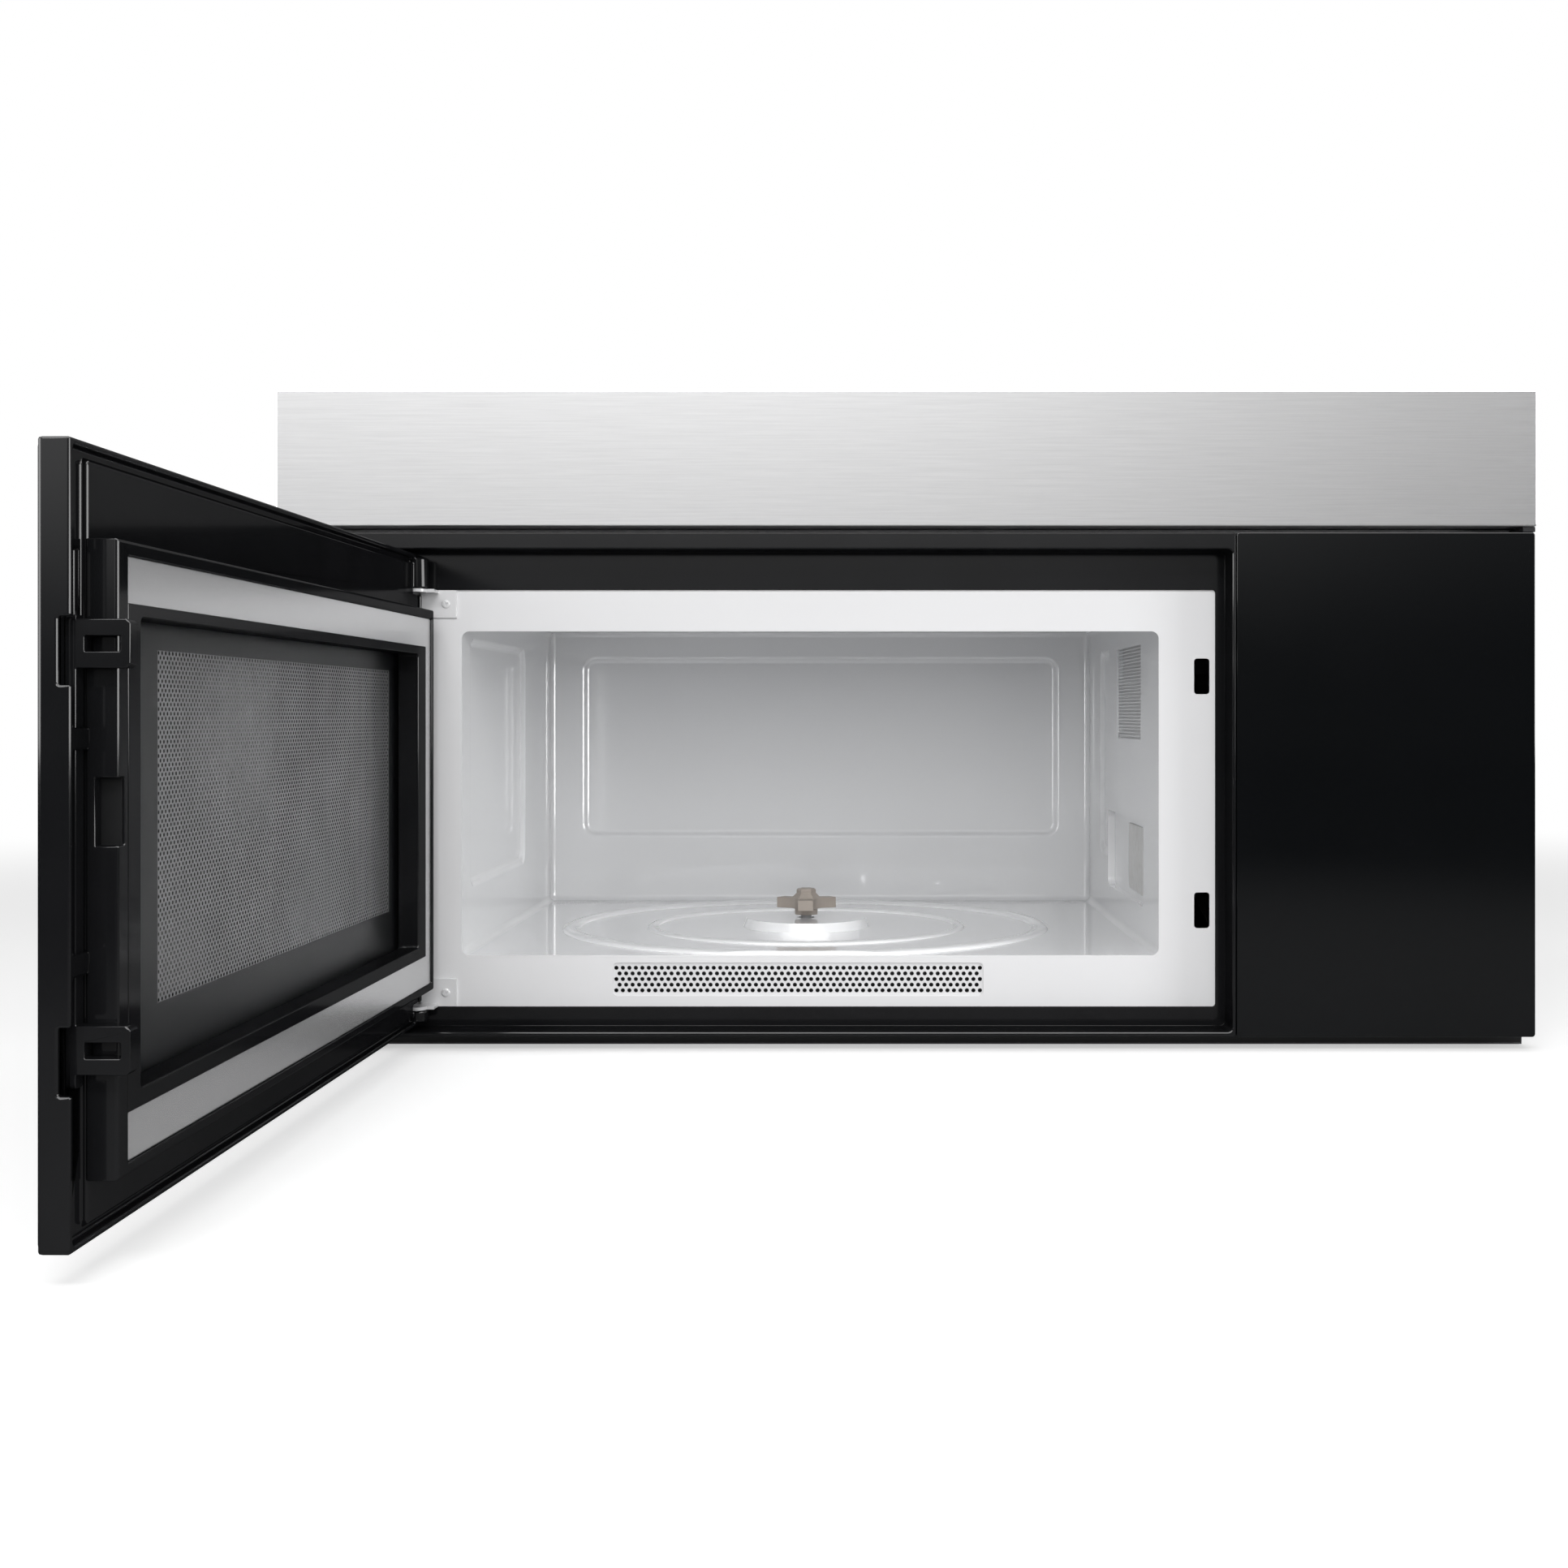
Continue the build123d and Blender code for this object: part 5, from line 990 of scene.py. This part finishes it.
def build_screws():
    """Screws of the hinge leaves, the case, the duct collar and the cooktop lamp."""
    for place in ("upper", "lower"):
        low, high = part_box(f"hinge_bracket_{place}")
        spot = (PIN.x + 14.5 * MM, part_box("front_plate")[0].y - 1.5 * MM, (low.z + high.z) / 2)
        name = f"hinge_screw_{place}"
        add_screws(name, [spot], (0, -1, 0), HINGE_SCREW, ENAMEL_WHITE)
    low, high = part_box("outer_case")
    columns, rows = inset(low.x, high.x, 30 * MM), inset(low.y, high.y, 20 * MM, 14 * MM)
    spots = [(x, y, high.z) for x in columns for y in rows]
    add_screws("case_screws", spots, (0, 0, 1), CASE_SCREW, ZINC)
    low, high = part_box("exhaust_collar")
    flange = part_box("outer_case")[1].z + 1 * MM
    columns, rows = inset(low.x, high.x, 6 * MM), inset(low.y, high.y, 18 * MM)
    spots = [(x, y, flange) for x in columns for y in rows]
    add_screws("collar_screws", spots, (0, 0, 1), COLLAR_SCREW, ZINC)
    low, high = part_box("cooktop_lamp_lens")
    spots = [(x, (low.y + high.y) / 2, low.z) for x in inset(low.x, high.x, 5 * MM)]
    add_screws("lamp_screws", spots, (0, 0, -1), LAMP_SCREW, ZINC)


build_screws()

# ---- grease filters ------------------------------------------------------------------------------
FILTER_RIM = 12 * MM
FILTER_SUNK = 0.9 * MM
FILTER_SHEET = 0.5 * MM
FILTER_PITCH = 6 * MM
FILTER_ROW = 3 * MM
FILTER_RADIUS = 1.25 * MM


def build_filter_mesh():
    """Expanded aluminium in the sunk face of each grease filter."""
    for side in ("left", "right"):
        low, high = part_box(f"grease_filter_{side}")
        mesh = perforated(
            (low.x + FILTER_RIM, low.y + FILTER_RIM),
            (high.x - FILTER_RIM, high.y - FILTER_RIM),
            low.z + FILTER_SUNK,
            low.z + FILTER_SUNK + FILTER_SHEET,
            FILTER_PITCH,
            FILTER_ROW,
            FILTER_RADIUS,
            (2, 2),
        )
        # laid down flat
        mesh.transform(Matrix(((1, 0, 0, 0), (0, 0, 1, 0), (0, 1, 0, 0), (0, 0, 0, 1))))
        mesh.flip_normals()
        new_piece(f"filter_mesh_{side}", mesh, "cabinet", FILTER_MESH)


build_filter_mesh()

# ---- stage ---------------------------------------------------------------------------------------
IMAGE = 1932  # the photograph's width and height in pixels
FOCAL_PX = 2334.0
PRINCIPAL = (1051.0, 880.0)  # the pixel straight ahead of the camera
EYE = Vector((-0.0322, -1.540, 0.203))


def build_camera():
    """The photograph's camera, which looks straight along +Y. Its shift gives the photograph's framing."""
    data = bpy.data.cameras.new("camera")
    data.sensor_width = 36.0
    data.lens = FOCAL_PX / IMAGE * data.sensor_width
    data.shift_x = (IMAGE / 2 - PRINCIPAL[0]) / IMAGE
    data.shift_y = (PRINCIPAL[1] - IMAGE / 2) / IMAGE
    camera = bpy.data.objects.new("camera", data)
    camera.location = EYE
    camera.rotation_euler = (pi / 2, 0, 0)
    bpy.context.scene.collection.objects.link(camera)
    bpy.context.scene.camera = camera


FLOOR_SIZE = 9.0  # from its middle to its sides
FLOOR_DROP = 0.2 * MM
FLOOR_PALE = 0.80
FLOOR_MIRRORED = -0.50  # added to the floor's colour where gloss and metal mirror it
FLOOR_FLOOD = 0.45  # how much of the floor's white the camera sees without lamps, beside the object
FLOOR_NEAR = 0.7  # distances between which the floor turns into the white backdrop
FLOOR_FAR = 2.2


def build_floor():
    """A plain pale floor that fades into the white backdrop and keeps the object's shadow."""
    corners = [(x * FLOOR_SIZE, y * FLOOR_SIZE, -FLOOR_DROP) for x, y in ((-1, -1), (1, -1), (1, 1), (-1, 1))]
    floor = bpy.data.objects.new("floor", mesh_from(corners, [(0, 1, 2, 3)]))
    bpy.context.scene.collection.objects.link(floor)
    material = bpy.data.materials.new("floor")
    material.use_nodes = True
    material.node_tree.nodes.clear()
    wiring = Wiring(material.node_tree)
    path = wiring.node("ShaderNodeLightPath").outputs
    length = wiring.node("ShaderNodeVectorMath", operation="LENGTH")
    wiring.link(wiring.node("ShaderNodeTexCoord").outputs["Object"], length.inputs[0])
    distance = length.outputs["Value"]
    # the matte floor near the object, nothing far from it
    matte = wiring.node("ShaderNodeBsdfDiffuse")
    pale = wiring.math("MULTIPLY_ADD", path["Is Glossy Ray"], FLOOR_MIRRORED, FLOOR_PALE)
    grey = wiring.node("ShaderNodeCombineColor")
    for channel in ("Red", "Green", "Blue"):
        wiring.link(pale, grey.inputs[channel])
    wiring.link(grey.outputs["Color"], matte.inputs["Color"])
    blank = wiring.node("ShaderNodeBsdfTransparent")
    blank.inputs["Color"].default_value = (0, 0, 0, 1)
    fade = wiring.node("ShaderNodeMixShader")
    wiring.link(wiring.ramp(distance, FLOOR_NEAR, FLOOR_FAR, 0.0, 1.0), fade.inputs["Fac"])
    wiring.link(matte.outputs[0], fade.inputs[1])
    wiring.link(blank.outputs[0], fade.inputs[2])
    # and the backdrop's white on top, for the camera and for what passes through glass
    seen = wiring.math("MAXIMUM", path["Is Camera Ray"], path["Is Transmission Ray"])
    far = wiring.ramp(distance, FLOOR_NEAR, FLOOR_FAR, FLOOR_FLOOD, 1.0)
    white = wiring.node("ShaderNodeEmission")
    wiring.link(wiring.math("MULTIPLY", seen, far), white.inputs["Strength"])
    flood = wiring.node("ShaderNodeAddShader")
    wiring.link(fade.outputs[0], flood.inputs[0])
    wiring.link(white.outputs[0], flood.inputs[1])
    output = wiring.node("ShaderNodeOutputMaterial")
    wiring.link(flood.outputs[0], output.inputs["Surface"])
    floor.data.materials.append(material)


def area_light(name, place, target, size, power, mirrored=True, lights=True, only=()):
    """A soft rectangular lamp, for the whole scene or only for the named pieces.

    One that isn't mirrored leaves no image of itself in gloss and metal. One that doesn't light is only such
    an image.
    """
    data = bpy.data.lights.new(name, "AREA")
    data.shape = "RECTANGLE"
    data.size, data.size_y = size
    data.energy = power
    lamp = bpy.data.objects.new(name, data)
    lamp.location = place
    lamp.rotation_euler = (Vector(target) - Vector(place)).to_track_quat("-Z", "Y").to_euler()
    lamp.visible_glossy = mirrored
    lamp.visible_diffuse = lights
    lamp.visible_camera = False
    bpy.context.scene.collection.objects.link(lamp)
    if only:
        receivers = bpy.data.collections.new(name)
        for piece in only:
            receivers.objects.link(bpy.data.objects[piece])
        lamp.light_linking.receiver_collection = receivers


AMBIENT = 0.20
SIDE_GLOW = 7.0
TOP_GLOW = 5.0
# what gloss mirrors: the part of a direction (X, Y or Z) at which a strength starts and ends to change, and
# the strength before and after
CEILING = (0.02, 0.15, 0.05, 1.15)  # going up
RIGHTWARDS = (0.05, 0.36, 1.0, 0.20)  # going right, a share of the ceiling
REAR = (-0.6, 0.3, 0.0, 0.9)  # going back
RIGHT_SIDE = (0.80, 0.88, 0.0, SIDE_GLOW)
LEFT_SIDE = (-0.92, -0.86, SIDE_GLOW, 0.0)
OVERHEAD = (0.50, 0.65, 0.0, TOP_GLOW)


def build_world():
    """White for the camera and for what passes through glass.

    Gloss and metal mirror a room that is dark below, with a pale ceiling and bright sides.
    """
    world = bpy.data.worlds.new("studio")
    bpy.context.scene.world = world
    world.use_nodes = True
    wiring = Wiring(world.node_tree)
    path = wiring.node("ShaderNodeLightPath").outputs
    direction = wiring.axes(wiring.node("ShaderNodeTexCoord").outputs["Generated"])
    seen = wiring.math("MAXIMUM", path["Is Camera Ray"], path["Is Transmission Ray"])
    ceiling = wiring.ramp(direction["Z"], *CEILING)
    mirrored = wiring.math("MULTIPLY", ceiling, wiring.ramp(direction["X"], *RIGHTWARDS))
    for axis, strengths in (("Y", REAR), ("X", RIGHT_SIDE), ("X", LEFT_SIDE), ("Z", OVERHEAD)):
        mirrored = wiring.math("MAXIMUM", mirrored, wiring.ramp(direction[axis], *strengths))
    glossy = wiring.math("MULTIPLY", mirrored, path["Is Glossy Ray"])
    ambient = wiring.math("MULTIPLY", path["Is Diffuse Ray"], AMBIENT)
    total = wiring.math("ADD", wiring.math("MAXIMUM", seen, glossy), ambient)
    background = world.node_tree.nodes["Background"].inputs
    wiring.link(total, background["Strength"])
    background["Color"].default_value = (1, 1, 1, 1)


LINER = ("cavity_liner", "floor_bead_0", "floor_bead_1")


def build_lamps():
    """Soft lamps around the front, a strip that gloss mirrors, and three for the cavity's enamel only."""
    area_light("key", (-0.25, -3.0, 0.75), (0, -0.2, 0.2), (1.8, 0.9), 25.0, mirrored=False)
    area_light("high", (0.0, -2.3, 1.6), (0, -0.3, 0.15), (1.8, 0.5), 20.0, mirrored=False)
    area_light("right", (2.2, -1.8, 0.5), (-0.25, -0.5, 0.15), (1.0, 1.2), 21.0, mirrored=False)
    area_light("top", (0.1, -0.9, 2.2), (0, -0.3, 0.2), (2.2, 0.5), 8.0, mirrored=False)
    area_light("strip_above", (-0.3, -2.6, 1.7), (0, -0.4, 0.2), (1.6, 0.1), 6.0)
    area_light("left", (-2.2, -1.8, 0.5), (-0.2, -0.5, 0.2), (0.7, 1.4), 8.0, mirrored=False)
    inside = (-0.15, -0.2, 0.1)
    area_light("cavity_fill", (1.3, -2.3, 0.7), inside, (1.0, 0.8), 8.0, mirrored=False, only=LINER)
    inside = (-0.06, -0.1, 0.15)
    for side, x in (("left", -1.1), ("right", 1.0)):
        area_light(f"glaze_{side}", (x, -2.0, 0.3), inside, (1.0, 0.6), 22.0, lights=False, only=LINER)


build_camera()
build_floor()
build_world()
build_lamps()
bpy.context.scene.view_settings.view_transform = "Standard"
